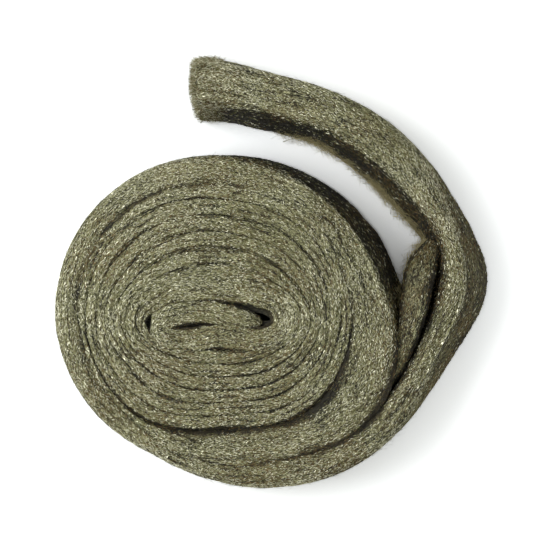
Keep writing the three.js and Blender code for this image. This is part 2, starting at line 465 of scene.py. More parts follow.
@dataclass
class Strand:
    """One length of ribbon: for each station along it, in metres, its middle, the direction
    outwards and its section.

    Attributes:
        name: The strand's name.
        middle: Middle of the thickness, as x and y.
        outwards: Unit direction from the inner face to the outer face.
        sections: For each of the section's sizes, its value at every station.
    """

    name: str
    middle: np.ndarray
    outwards: np.ndarray
    sections: dict[str, np.ndarray]

    def spaced(self, step: float) -> "Strand":
        """The same strand with evenly spaced stations.

        Args:
            step: About how far apart the stations are.

        Returns:
            The new strand.
        """
        gaps = np.linalg.norm(np.diff(self.middle, axis=0), axis=1)
        along = np.concatenate([[0], np.cumsum(gaps)])
        count = int(round(along[-1] / step)) + 1
        even = np.linspace(0, along[-1], count)

        def read(values: np.ndarray) -> np.ndarray:
            """The values at the new stations."""
            return np.interp(even, along, values)

        outwards = np.stack([read(self.outwards[:, 0]), read(self.outwards[:, 1])], axis=1)
        outwards /= np.linalg.norm(outwards, axis=1, keepdims=True)
        return Strand(
            self.name,
            np.stack([read(self.middle[:, 0]), read(self.middle[:, 1])], axis=1),
            outwards,
            {key: read(values) for key, values in self.sections.items()},
        )

    def length(self) -> float:
        """Length along the middle."""
        return float(np.linalg.norm(np.diff(self.middle, axis=0), axis=1).sum())

    def guide(self) -> bpy.types.Object:
        """A chain of points that carries the strand into the node groups.

        Returns:
            An object with one vertex for each station, and the section's sizes as attributes.
        """
        mesh = bpy.data.meshes.new(self.name)
        points = np.column_stack([self.middle, np.zeros(len(self.middle))])
        mesh.from_pydata(points.tolist(), [], [])
        directions = np.column_stack([self.outwards, np.zeros(len(self.outwards))])
        mesh.attributes.new("outwards", "FLOAT_VECTOR", "POINT").data.foreach_set(
            "vector", directions.ravel())
        for key, values in self.sections.items():
            mesh.attributes.new(key, "FLOAT", "POINT").data.foreach_set("value", values)
        return added(self.name, mesh)


@dataclass
class Winding:
    """The route and the section of the ribbon, in millimetres from the middle that its outer turns
    are wound about. Angles are in degrees, anticlockwise from +X. At 0 degrees of the running
    angle the wound turns reach their outer oval, and a row starts with the running angle.

    Attributes:
        height: How high the ribbon stands.
        press: How far neighbouring turns press into each other.
        crown: Depth of a plain groove.
        seam_crown: Depth of the main groove.
        crest_fall: How far either side of the crest falls at the most.
        wound_beats: Falls of the crest in one wound turn.
        outer_beats: Falls of the crest in one outer turn.
        core_beat: Length from fall to fall in the core.
        inner_beat_share: Falls on the inner side for each one on the outer side.
        crease: Depth of the crease on top of a wide turn.
        crease_share: Creases for each fall.
        creased_from: Thickness at which a turn starts to be creased.
        creased_fully: Thickness at which it is fully creased.
        folds: The core's folded middle, as x and y, inner end first.
        fold_thickness: Thickness of the folded ribbon.
        pinch: Thickness that a bend leaves, as a share of its radius.
        join_length: Length over which the folded ribbon thins to the wound turns.
        inner_end: Length over which the inner end rounds off.
        inner_end_drop: How much lower the inner end is.
        core_centre: Middle of the core's oval.
        core_half_length: Half the core's length.
        core_half_width: Half the core's width.
        outer_oval: The oval round the wound turns, as its distance every 45 degrees.
        wound_turns: Turns between the two ovals.
        outer_start: Running angle from which the outer face lies open.
        easing: Angle over which one rule gives way to the next.
        outer_face_rows: Distance of the outer turns' outer face.
        tail_start: Running angle at which the tail leaves the turn below it.
        parts_before: Angle before that over which its inner face parts from the turn.
        parts_after: Angle after it over which it does.
        tail_inner_rows: Distance of the tail's inner face.
        outer_lean_rows: How much narrower the crown is than the foot on the outer side. Below 0
            it reaches over the groove.
        inner_lean_rows: The same on the inner side.
        gap_rows: Where the open outer side gets painted shade, as from, to and how much.
        outer_seam_rows: Where the outer side has the main groove, as from, to and how much.
        inner_seam_rows: The same on the inner side.
        seam_starts_over: Angle on either side of its start over which that groove deepens.
        seam_ends_over: Angle on either side of its end over which it fades.
        rim_drop: Rounding along the roll's top rim.
        tail_drop: Rounding along the tail's top edges.
        tip_length: Length over which the cut end rounds off.
        tip_round: How abruptly it does.
        tip_drop: How much lower the cut end is.
        tuck_rows: The creased layer's inner face, outer face and height.
        tuck_drop: Rounding of its edge over the gap.
        tuck_end: Angle over which its ends round off.
        step_degrees: Angle between stations before they are spaced evenly.
        fold_step: Distance between the core's stations before that.
        bend_window: Stations over which the core's bend is averaged.
    """

    height: float = 40.0
    press: float = 0.8
    crown: float = 2.6
    seam_crown: float = 4.2
    crest_fall: float = 1.4
    wound_beats: float = 10.3
    outer_beats: float = 16.4
    core_beat: float = 19.0
    inner_beat_share: float = 0.83
    crease: float = 3.0
    crease_share: float = 0.21
    creased_from: float = 9.0
    creased_fully: float = 16.0
    folds: Sequence[Row] = (
        (14.2, -0.9), (7.0, 0.2), (-0.4, 2.0), (-8.5, 4.0), (-16.8, 3.6), (-24.6, 1.4),
        (-29.4, -2.6), (-24.0, -7.2), (-14.2, -7.9), (-4.1, -6.1), (6.1, -7.3), (15.0, -7.4),
        (21.5, -4.1), (23.1, 1.6), (19.9, 7.7), (11.8, 11.0), (2.0, 12.6), (-8.1, 13.0),
        (-18.3, 11.6), (-27.2, 8.4), (-32.9, 4.7), (-35.3, 0.0),
    )
    fold_thickness: float = 10.5
    pinch: float = 1.7
    join_length: float = 14.0
    inner_end: float = 11.0
    inner_end_drop: float = 4.0
    core_centre: tuple[float, float] = (-4.9, 0.8)
    core_half_length: float = 32.5
    core_half_width: float = 17.0
    outer_oval: Sequence[float] = (50.0, 53.2, 54.2, 60.3, 59.0, 54.8, 44.3, 49.4)
    wound_turns: float = 5.5
    outer_start: float = 360.0
    easing: float = 20.0
    outer_face_rows: Sequence[Row] = (
        (-20, 51.0), (0, 50.2), (20, 50.2), (45, 53.2), (70, 53.6), (90, 54.2), (113, 57.6),
        (135, 60.3), (158, 60.4), (180, 59.0), (205, 56.8), (225, 55.0), (245, 57.2),
        (270, 59.2), (286, 59.4), (305, 64.2), (318, 68.8), (330, 71.2), (341, 72.8),
        (352, 73.2), (360, 72.8), (374, 72.0), (387, 71.0), (405, 69.4), (420, 68.2),
        (450, 67.2), (480, 68.9), (502, 69.8), (520, 69.8), (540, 69.0), (560, 66.8),
        (580, 64.4), (600, 62.0), (612, 62.7), (630, 65.4), (640, 68.0), (650, 70.6),
        (660, 73.8), (670, 77.1), (680, 80.6), (690, 84.0), (700, 87.5), (710, 93.0),
        (716, 98.2), (722, 103.8), (727, 107.6), (732, 108.8), (740, 107.2), (750, 105.4),
        (760, 104.8), (770, 104.4), (780, 103.4), (790, 102.6), (800, 102.6), (808, 105.0),
        (815, 107.6),
    )
    tail_start: float = 700.0
    parts_before: float = 8.0
    parts_after: float = 4.0
    tail_inner_rows: Sequence[Row] = (
        (690, 71.0), (700, 73.0), (710, 75.8), (720, 79.4), (730, 83.8), (738, 86.0),
        (746, 84.6), (754, 81.8), (765, 80.6), (780, 80.0), (800, 79.0), (808, 80.2),
        (815, 81.8),
    )
    outer_lean_rows: Sequence[Row] = (
        (0, 0), (60, -1.6), (130, -2.4), (200, -2.0), (245, -1.2), (290, -1.0), (315, -0.4),
        (330, 0), (352, 4.0), (372, 7.5), (390, 8.0), (405, 7.0), (425, 4.5), (450, 1.5),
        (600, 1.0), (690, 2.0), (712, 8.0), (728, 10.5), (745, 6.0), (760, 2.0), (815, 1.5),
    )
    inner_lean_rows: Sequence[Row] = (
        (0, 0), (340, 0), (400, -2.0), (480, -2.6), (560, -2.2), (640, -2.0), (675, -0.8),
        (690, 0), (712, 1.5), (730, 4.0), (745, 6.0), (780, 6.0), (815, 5.0),
    )
    gap_rows: Sequence[Row] = ((360, 455, 1.0), (710, 750, 0.6))
    outer_seam_rows: Sequence[Row] = (
        (-145, -75, 0.6), (-65, -25, 0.85), (85, 240, 1.0), (250, 345, 0.35),
    )
    inner_seam_rows: Sequence[Row] = (
        (215, 285, 0.6), (295, 335, 0.85), (445, 600, 1.0), (610, 690, 0.6),
    )
    seam_starts_over: float = 25.0
    seam_ends_over: float = 20.0
    rim_drop: float = 7.5
    tail_drop: float = 10.5
    tip_length: float = 6.0
    tip_round: float = 9.0
    tip_drop: float = 2.5
    tuck_rows: Sequence[Row] = (
        (-26, 62.5, 70.5, 34.0), (-10, 66.5, 76.0, 35.5), (0, 69.3, 79.8, 35.0),
        (10, 72.0, 84.6, 33.5), (16, 75.6, 89.0, 32.0), (22, 82.5, 95.0, 27.0),
    )
    tuck_drop: float = 6.0
    tuck_end: float = 3.0
    step_degrees: float = 1.5
    fold_step: float = 0.5
    bend_window: int = 11

    def core_oval(self, degrees: np.ndarray) -> np.ndarray:
        """Distance from the middle to the core's oval.

        Args:
            degrees: Running angles.

        Returns:
            The distance at each.
        """
        x, y = self.core_centre
        angle = np.radians(degrees)
        along, up = np.cos(angle) / self.core_half_length, np.sin(angle) / self.core_half_width
        square = along**2 + up**2
        linear = along * x / self.core_half_length + up * y / self.core_half_width
        rest = (x / self.core_half_length) ** 2 + (y / self.core_half_width) ** 2 - 1
        return (linear + np.sqrt(linear**2 - square * rest)) / square

    def outer_face(self, degrees: np.ndarray) -> np.ndarray:
        """Distance of the ribbon's outer face: ovals that grow from the core's to the outer one,
        and then the outer turns' rows.

        Args:
            degrees: Running angles.

        Returns:
            The distance at each.
        """
        count = len(self.outer_oval)
        rows = [(45.0 * (i - 2), self.outer_oval[(i - 2) % count]) for i in range(count + 5)]
        oval = curve_through(rows, np.mod(degrees, 360))
        share = 1 + degrees / (360 * self.wound_turns)
        core = self.core_oval(degrees)
        wound = core + share * (oval - core)
        loose = smoothstep(degrees, -self.easing, self.easing)
        return wound + loose * (curve_through(self.outer_face_rows, degrees) - wound)

    def inner_face(self, degrees: np.ndarray) -> np.ndarray:
        """Distance of the ribbon's inner face: the outer face of the turn before, until the tail
        leaves it.

        Args:
            degrees: Running angles.

        Returns:
            The distance at each.
        """
        parted = self.tail_start + self.parts_after
        free = smoothstep(degrees, self.tail_start - self.parts_before, parted)
        wound = self.outer_face(np.minimum(degrees, parted) - 360)
        return wound + free * (curve_through(self.tail_inner_rows, degrees) - wound)

    def crest(self, phase: np.ndarray, thickness: np.ndarray) -> dict[str, np.ndarray]:
        """The unevenness of the crest, from two waves that never meet twice alike.

        Args:
            phase: How far along each station is, counted in falls.
            thickness: The ribbon's thickness there.

        Returns:
            How far the crest's two sides fall, and its crease.
        """
        falls = []
        for beat in (phase, self.inner_beat_share * phase + 0.4):
            turns = 2 * np.pi * beat
            falls.append(0.5 - 0.3 * np.cos(turns) - 0.2 * np.cos(0.61 * turns))
        wide = smoothstep(thickness, self.creased_from, self.creased_fully)
        comes = 0.5 - 0.5 * np.cos(2 * np.pi * self.crease_share * phase)
        return {
            "outer_fall": self.crest_fall * falls[0],
            "inner_fall": self.crest_fall * falls[1],
            "crease": self.crease * wide * comes,
        }

    def seam_along(self, degrees: np.ndarray, rows: Sequence[Row]) -> np.ndarray:
        """How strong something is that comes and goes along the ribbon.

        Args:
            degrees: Running angles.
            rows: Where it is, as from, to and how much.

        Returns:
            Its strength at each angle.
        """
        strength = np.zeros_like(degrees)
        starts_over, ends_over = self.seam_starts_over, self.seam_ends_over
        for start, end, most in rows:
            come = smoothstep(degrees, start - starts_over, start + starts_over)
            gone = smoothstep(degrees, end - ends_over, end + ends_over)
            strength = np.maximum(strength, most * come * (1 - gone))
        return strength

    def wound_part(self) -> Strand:
        """The wound turns, the outer turns and the tail.

        Returns:
            Their strand, in millimetres.
        """
        start, end = -360 * self.wound_turns, self.outer_face_rows[-1][0]
        degrees = np.arange(start, end + 0.01, self.step_degrees)
        angle = np.radians(degrees)
        outwards = np.column_stack([np.cos(angle), np.sin(angle)])
        inner, outer = self.inner_face(degrees), self.outer_face(degrees)
        starts, leaves = self.outer_start, self.tail_start
        free = smoothstep(degrees, leaves - self.easing, leaves + self.easing)
        rim = smoothstep(degrees, starts - self.easing, starts + self.easing)
        outer_seam = self.seam_along(degrees, self.outer_seam_rows)
        inner_seam = self.seam_along(degrees, self.inner_seam_rows)
        deeper = self.seam_crown - self.crown
        outer_crown = self.crown + deeper * outer_seam
        inner_crown = self.crown + deeper * inner_seam
        wall = outer_crown + rim * (self.rim_drop - outer_crown)
        thickness = outer - inner + self.press * (1 - free)
        phase = (self.wound_beats * np.minimum(degrees, starts)
                 + self.outer_beats * np.maximum(degrees - starts, 0)) / 360
        return Strand("ribbon", outwards * ((inner + outer) / 2)[:, None], outwards, {
            **self.crest(phase, thickness),
            "thickness": thickness,
            "outer_seam": outer_seam,
            "inner_seam": inner_seam,
            "outer_lean": curve_through(self.outer_lean_rows, degrees),
            "inner_lean": curve_through(self.inner_lean_rows, degrees),
            "outer_drop": wall + free * (self.tail_drop - wall),
            "inner_drop": inner_crown + free * (self.tail_drop - inner_crown),
            "top": np.full_like(degrees, self.height),
            "outer_bare": smoothstep(degrees, starts - self.easing / 2, starts + self.easing / 2),
            "inner_bare": smoothstep(degrees, leaves, leaves + self.easing),
            "gap_bare": self.seam_along(degrees, self.gap_rows),
        })

    def core_part(self, joined: Strand) -> Strand:
        """The folded core, which ends where the wound turns start.

        Args:
            joined: The wound turns.

        Returns:
            The core's strand, in millimetres.
        """
        knots = np.arange(len(self.folds), dtype=float)
        at = np.linspace(0, knots[-1], 40 * len(self.folds))
        x, y = (curve_through(list(zip(knots, line)), at) for line in zip(*self.folds))
        steps = np.hypot(np.diff(x), np.diff(y))
        along = np.concatenate([[0], np.cumsum(steps)])
        even = np.arange(0, along[-1], self.fold_step)
        x, y = np.interp(even, along, x), np.interp(even, along, y)
        heading = np.unwrap(np.arctan2(np.gradient(y), np.gradient(x)))
        window = np.hanning(self.bend_window)
        window = window / window.sum()
        bend = np.convolve(np.abs(np.gradient(heading, even)), window, mode="same")
        thickness = np.minimum(self.fold_thickness, self.pinch / np.maximum(bend, 0.01))
        join = smoothstep(even, along[-1] - self.join_length, along[-1])
        sections = {key: np.full_like(even, v[0]) for key, v in joined.sections.items()}
        phase = -self.wound_beats * self.wound_turns - (along[-1] - even) / self.core_beat
        sections.update(self.crest(phase, sections["thickness"]))
        sections["thickness"] = thickness + join * (sections["thickness"] - thickness)
        start = np.clip(even / self.inner_end, 0, 1)
        sections["thickness"] *= np.sqrt(np.maximum(1 - (1 - start) ** 2, 0.01))
        sections["top"] = sections["top"] - self.inner_end_drop * (1 - start) ** 2
        outwards = np.column_stack([np.sin(heading), -np.cos(heading)])
        return Strand("core", np.column_stack([x, y]), outwards, sections)

    def tip_part(self, last: Strand) -> Strand:
        """The cut end, which rounds off past the tail's last station.

        Args:
            last: The strand that it ends.

        Returns:
            The tip's strand, in millimetres.
        """
        t = np.linspace(0, 1, 14)[1:]
        outwards = last.outwards[-1]
        heading = np.array([-outwards[1], outwards[0]])
        middle = last.middle[-1] + heading * (self.tip_length * t)[:, None]
        sections = {key: np.full_like(t, v[-1]) for key, v in last.sections.items()}
        narrowing = np.sqrt(np.maximum(0, 1 - t**self.tip_round))
        for key in ("thickness", "outer_lean", "inner_lean"):
            sections[key] = sections[key] * narrowing
        sections["top"] = sections["top"] - self.tip_drop * t**3
        return Strand("tip", middle, np.tile(outwards, (len(t), 1)), sections)

    def ribbon(self, shift: tuple[float, float]) -> Strand:
        """The whole ribbon in the row's frame, in metres.

        Args:
            shift: Where the winding's middle is, in metres.

        Returns:
            Its strand, inner end first.
        """
        wound = self.wound_part()
        parts = [self.core_part(wound), wound, self.tip_part(wound)]
        return self.placed("ribbon_guide", parts, shift)

    def tuck(self, shift: tuple[float, float]) -> Strand:
        """The creased inner layer where the tail leaves the roll, in metres.

        Args:
            shift: Where the winding's middle is, in metres.

        Returns:
            Its strand.
        """
        degrees = np.arange(self.tuck_rows[0][0], self.tuck_rows[-1][0] + 0.01, 1.0)
        inner, outer, top = (
            curve_through([(row[0], row[k]) for row in self.tuck_rows], degrees)
            for k in (1, 2, 3))
        angle = np.radians(degrees)
        outwards = np.column_stack([np.cos(angle), np.sin(angle)])
        from_end = np.minimum(degrees - degrees[0], degrees[-1] - degrees)
        ends = np.sqrt(np.clip(from_end / self.tuck_end, 0, 1))
        flat = np.zeros_like(degrees)
        strand = Strand("tuck", outwards * ((inner + outer) / 2)[:, None], outwards, {
            "thickness": (outer - inner) * ends,
            "outer_lean": flat,
            "inner_lean": flat,
            "outer_drop": flat + self.crown,
            "inner_drop": flat + self.tuck_drop,
            "top": top,
            "outer_bare": flat,
            "inner_bare": flat + 1,
            "gap_bare": flat,
            "outer_seam": flat,
            "inner_seam": flat,
            "outer_fall": flat,
            "inner_fall": flat,
            "crease": flat,
        })
        return self.placed("tuck_guide", [strand], shift)

    @staticmethod
    def placed(name: str, parts: Sequence[Strand], shift: tuple[float, float]) -> Strand:
        """Joins lengths end to end and brings them to metres in the row's frame.

        Args:
            name: The whole strand's name.
            parts: The lengths, in order.
            shift: Where the winding's middle is, in metres.

        Returns:
            The whole strand.
        """
        whole = Strand(
            name,
            np.concatenate([p.middle for p in parts]) * MM + np.array(shift),
            np.concatenate([p.outwards for p in parts]),
            {key: np.concatenate([p.sections[key] for p in parts]) for key in parts[0].sections},
        )
        for key in whole.sections:
            if not key.endswith(("bare", "seam")):
                whole.sections[key] = whole.sections[key] * MM
        return whole


class Streaks:
    """Thin lines of painted shade along the ribbon, where its layers part, which come and go."""

    SPACING = 2.5 * MM
    HALF_WIDTH = 0.2 * MM
    LENGTH = 20 * MM  # of a parting, usually
    COMES = (0.46, 0.56)  # the noise at which a parting starts and is fully open
    CREST = 38.6 * MM  # below this height the way down the section counts as well
    WANDER = 5.0  # how far the lines stray sideways, in millimetres
    WANDER_LENGTH = 30 * MM  # over which length they do

    @classmethod
    def term(cls, net: Net, wool_at: Term, wider: float = 1.0) -> Term:
        """1 in a parting and 0 outside.

        Args:
            net: The tree under construction.
            wool_at: Place on the ribbon: along it, across its section and up.
            wider: How much wider than the line itself.

        Returns:
            The value there.
        """
        along, across, height = wool_at.parts()
        wander = net.noise(net.xyz(along / cls.WANDER_LENGTH, 5.0, 0.0), 2.0) - 0.5
        wander = wander * cls.WANDER * MM
        down = (cls.CREST - height).most(0.0) * net.maths("SIGN", across)
        line = (across + down + wander) / cls.SPACING
        number = net.maths("ROUND", line)
        comes = net.noise(net.xyz(along / cls.LENGTH, number * 3.7, 0.0), 1.0)
        edge = (cls.HALF_WIDTH / cls.SPACING) * wider
        inside = 1.0 - abs(line - number).eased(edge * 0.6, edge * 1.4)
        return inside * comes.eased(*cls.COMES)


@dataclass
class Section:
    """How the ribbon's section is drawn, and how rough its wool is.

    Attributes:
        around: Points round the section.
        crown_share: Share of the way from the crest to the foot that is crown.
        wall_share: The same for the end of the wall.
        wall_size: Metres down the wall.
        foot: Bevel along the foot.
        lock: How far the thick locks of wool stand out.
        lock_size: A lock's length and width.
        wisp: How far the finer wisps do.
        wisp_size: A wisp's length and width.
        crest_ends: Where a crest's loose fibres end, as a share of the way to the foot.
        seam_sooner: How much sooner they do beside the main groove, which widens its painted shade.
        tuck_sooner: How much sooner on the creased layer.
        open_ends: Where they end on the roll's and the tail's open sides.
        gap_sooner: How much sooner beside the gap, so that painted shade starts nearer the crest
            there.
        frayed: How much that edge comes and goes, and over which length.
        streaks_wider: How much wider than the lines the fibres leave the partings free.
    """

    around: int = 37
    crown_share: float = 0.56
    wall_share: float = 0.86
    wall_size: float = 31 * MM
    foot: float = 1.1 * MM
    lock: float = 2.0 * MM
    lock_size: Row = (34 * MM, 2.4 * MM)
    wisp: float = 1.0 * MM
    wisp_size: Row = (7 * MM, 1.0 * MM)
    crest_ends: float = 0.355
    seam_sooner: float = 0.19
    tuck_sooner: float = 0.04
    open_ends: float = 0.54
    gap_sooner: float = 0.24
    frayed: Row = (0.22, 14 * MM)
    streaks_wider: float = 2.4

    def group(self) -> bpy.types.NodeTree:
        """Makes the node group that turns a guide into the ribbon's skin: a grid with a column for
        each station, bent into the section's shape and set on the guide.

        Returns:
            The group's tree.
        """
        net = NodeGroup("Ribbon skin", {"Guide": "geometry", "Strand": "int"})
        guide = net.given("Guide")
        count = net.out(
            net.add("GeometryNodeAttributeDomainSize", {0: guide}, component="MESH"),
            "Point Count")
        grid = net.add("GeometryNodeMeshGrid", {
            "Size X": 1.0, "Size Y": 1.0, "Vertices X": count, "Vertices Y": self.around})
        along, around, _ = (net.position() + (0.5, 0.5, 0.0)).parts()
        station = net.maths("ROUND", along * (count - 1.0))

        def sampled(name: str, kind: str = "FLOAT") -> Term:
            """The guide's value at this column of the grid.

            Args:
                name: The attribute's name.
                kind: Its type.

            Returns:
                The value.
            """
            links = {"Geometry": guide, "Value": net.attribute(name, kind), "Index": station}
            node = net.add("GeometryNodeSampleIndex", links, data_type=kind, domain="POINT")
            return net.out(node, "Value", kind == "FLOAT_VECTOR")

        middle = net.add(
            "GeometryNodeSampleIndex",
            {"Geometry": guide, "Value": net.position(), "Index": station},
            data_type="FLOAT_VECTOR", domain="POINT")
        outer_side = around < 0.5
        from_crest = abs(around * 2.0 - 1.0)
        half = sampled("thickness") * 0.5
        lean = net.blend(outer_side, sampled("inner_lean"), sampled("outer_lean"))
        drop = net.blend(outer_side, sampled("inner_drop"), sampled("outer_drop"))
        top = sampled("top")
        turn = from_crest.between(0.0, self.crown_share) * (math.pi / 2)
        down = from_crest.between(self.crown_share, self.wall_share)
        under = from_crest.between(self.wall_share, 1.0)
        across = (half - lean) * turn.sin() + lean * down - half * under
        outwards_share = (0.5 - around).eased(-0.1, 0.1)
        fall = net.blend(outwards_share, sampled("inner_fall"), sampled("outer_fall"))
        crest = fall * turn.cos() + sampled("crease") * (1.0 - turn.eased(0.0, 0.65))
        height = top - crest - drop * (1.0 - turn.cos()) - (top - drop - self.foot) * down
        height = height - (half * under).least(self.foot)
        side = outer_side * 2.0 - 1.0
        place = net.out(middle, "Value", True)
        place = place + sampled("outwards", "FLOAT_VECTOR") * (across * side)
        place = place + net.xyz(0.0, 0.0, height)

        metres = along * (count - 1.0) * STATION_STEP
        stored = net.store(net.out(grid), "wool_at", net.xyz(metres, across * side, height),
                           "FLOAT_VECTOR")
        stored = net.store(stored, "ribbon_uv", net.xyz(along, around, 0.0), "FLOAT_VECTOR")
        stored = net.store(stored, "strand", net.given("Strand"))
        stored = net.store(
            stored, "across_size", self.across_size(net, half - lean, drop, turn, from_crest))
        stored = net.store(stored, "from_crest", from_crest)
        bare = net.blend(outer_side, sampled("inner_bare"), sampled("outer_bare"))
        stored = net.store(stored, "bare", bare)
        seam = net.blend(outer_side, sampled("inner_seam"), sampled("outer_seam"))
        stored = net.store(stored, "seam", seam)
        stored = net.store(stored, "tail", sampled("inner_bare") * (1.0 - outer_side))
        # Where shade is painted on the open walls: the tail's inner side, and the outer side along
        # gap_bare.
        gap = net.blend(outer_side, sampled("inner_bare"), sampled("gap_bare"))
        stored = net.store(stored, "gap", gap)
        edge = self.crown_edge(net, net.attribute("seam"), bare)
        stored = net.store(stored, "crown_edge", edge)
        stored = net.store(stored, "station_count", count)
        stored = net.store(stored, "streak", Streaks.term(
            net, net.attribute("wool_at", "FLOAT_VECTOR"), self.streaks_wider))
        swept = net.moved(stored, position=place)
        normal = net.out(net.add("GeometryNodeInputNormal"), 0, True)
        return net.finish(net.moved(swept, offset=normal * self.relief(net)))

    def crown_edge(self, net: NodeGroup, seam: Term, bare: Term) -> Term:
        """Where the loose fibres of a crest end and its groove, with its painted shade, begins.

        Args:
            net: The skin's group.
            seam: How strong the main groove is.
            bare: How open the side lies.

        Returns:
            The share of the way from the crest to the foot.
        """
        metres, _, _ = net.attribute("wool_at", "FLOAT_VECTOR").parts()
        strand = net.attribute("strand")
        by, length = self.frayed
        comes = net.noise(net.xyz(metres / length, strand * 7.0, net.attribute("tail") * 3.0), 2.0)
        edge = self.crest_ends - seam * self.seam_sooner + (comes - 0.5) * by
        edge = edge - strand * self.tuck_sooner
        open_side = self.open_ends - net.attribute("gap") * self.gap_sooner
        return net.blend(bare, edge, open_side)

    def across_size(
        self, net: Net, reach: Term, drop: Term, turn: Term, from_crest: Term
    ) -> Term:
        """Metres round the section for one whole round of its parameter, at each place.

        Args:
            net: The skin's group.
            reach: Half the thickness at the crown.
            drop: How far the crown falls.
            turn: The angle on the crown, from the crest.
            from_crest: The share of the way to the foot.

        Returns:
            The metres.
        """
        slope = ((reach * turn.cos()) ** 2.0 + (drop * turn.sin()) ** 2.0) ** 0.5
        crown = slope * (math.pi / self.crown_share)
        wall = self.wall_size / ((self.wall_share - self.crown_share) / 2)
        return net.blend(from_crest > self.crown_share, crown, wall).most(4 * MM)

    def relief(self, net: NodeGroup) -> Term:
        """How far the wool stands out from the section.

        Args:
            net: The skin's group.

        Returns:
            The distance, in metres, which may be below 0.
        """
        at = net.attribute("wool_at", "FLOAT_VECTOR")
        along, across, height = at.parts()
        strand = net.attribute("strand") * 7.0

        def coarse(size: Row, detail: float, shift: float) -> Term:
            """Noise stretched along the ribbon.

            Args:
                size: A feature's length and width.
                detail: How many finer layers it has.
                shift: How far it is shifted, so that two of them differ.

            Returns:
                The value, from about -0.5 to 0.5.
            """
            spot = net.xyz(
                along / size[0] + shift, across / size[1] + strand, height / size[1] + shift)
            return net.noise(spot, detail) - 0.5

        locks = (abs(coarse(self.lock_size, 1.0, 9.0)) - 0.08).least(0.1) * self.lock
        wisps = coarse(self.wisp_size, 2.0, 21.0) * self.wisp
        clear_of_bench = height.eased(0.3 * MM, 4 * MM)
        return (locks + wisps) * clear_of_bench


class Tone(Enum):
    """The shades that the fibres come in, as linear colour."""

    GLINT = (0.93, 0.92, 0.68)
    STEEL = (0.385, 0.385, 0.205)
    OLIVE = (0.175, 0.178, 0.062)
    BROWN = (0.21, 0.14, 0.05)
    SHADE = (0.022, 0.020, 0.012)
    # Straw fibres low on the tail's inner side: their pale colour is a painted glow of light
    # through the sparse wool.
    STRAW = (0.62, 0.54, 0.28)


@dataclass(frozen=True)
class FibreFinish:
    """Bare steel fibre of one shade.

    Attributes:
        tone: The shade.
        metallic: How metallic it is.
        roughness: How rough it is.
    """

    tone: Tone
    metallic: float = 0.25
    roughness: float = 0.5

    def material(self) -> bpy.types.Material:
        """Builds the material, of one plain colour.

        Returns:
            The material.
        """
        made, shader = new_material(f"steel fibre {self.tone.name.lower()}")
        shader.inputs["Base Color"].default_value = (*self.tone.value, 1.0)
        shader.inputs["Metallic"].default_value = self.metallic
        shader.inputs["Roughness"].default_value = self.roughness
        return made


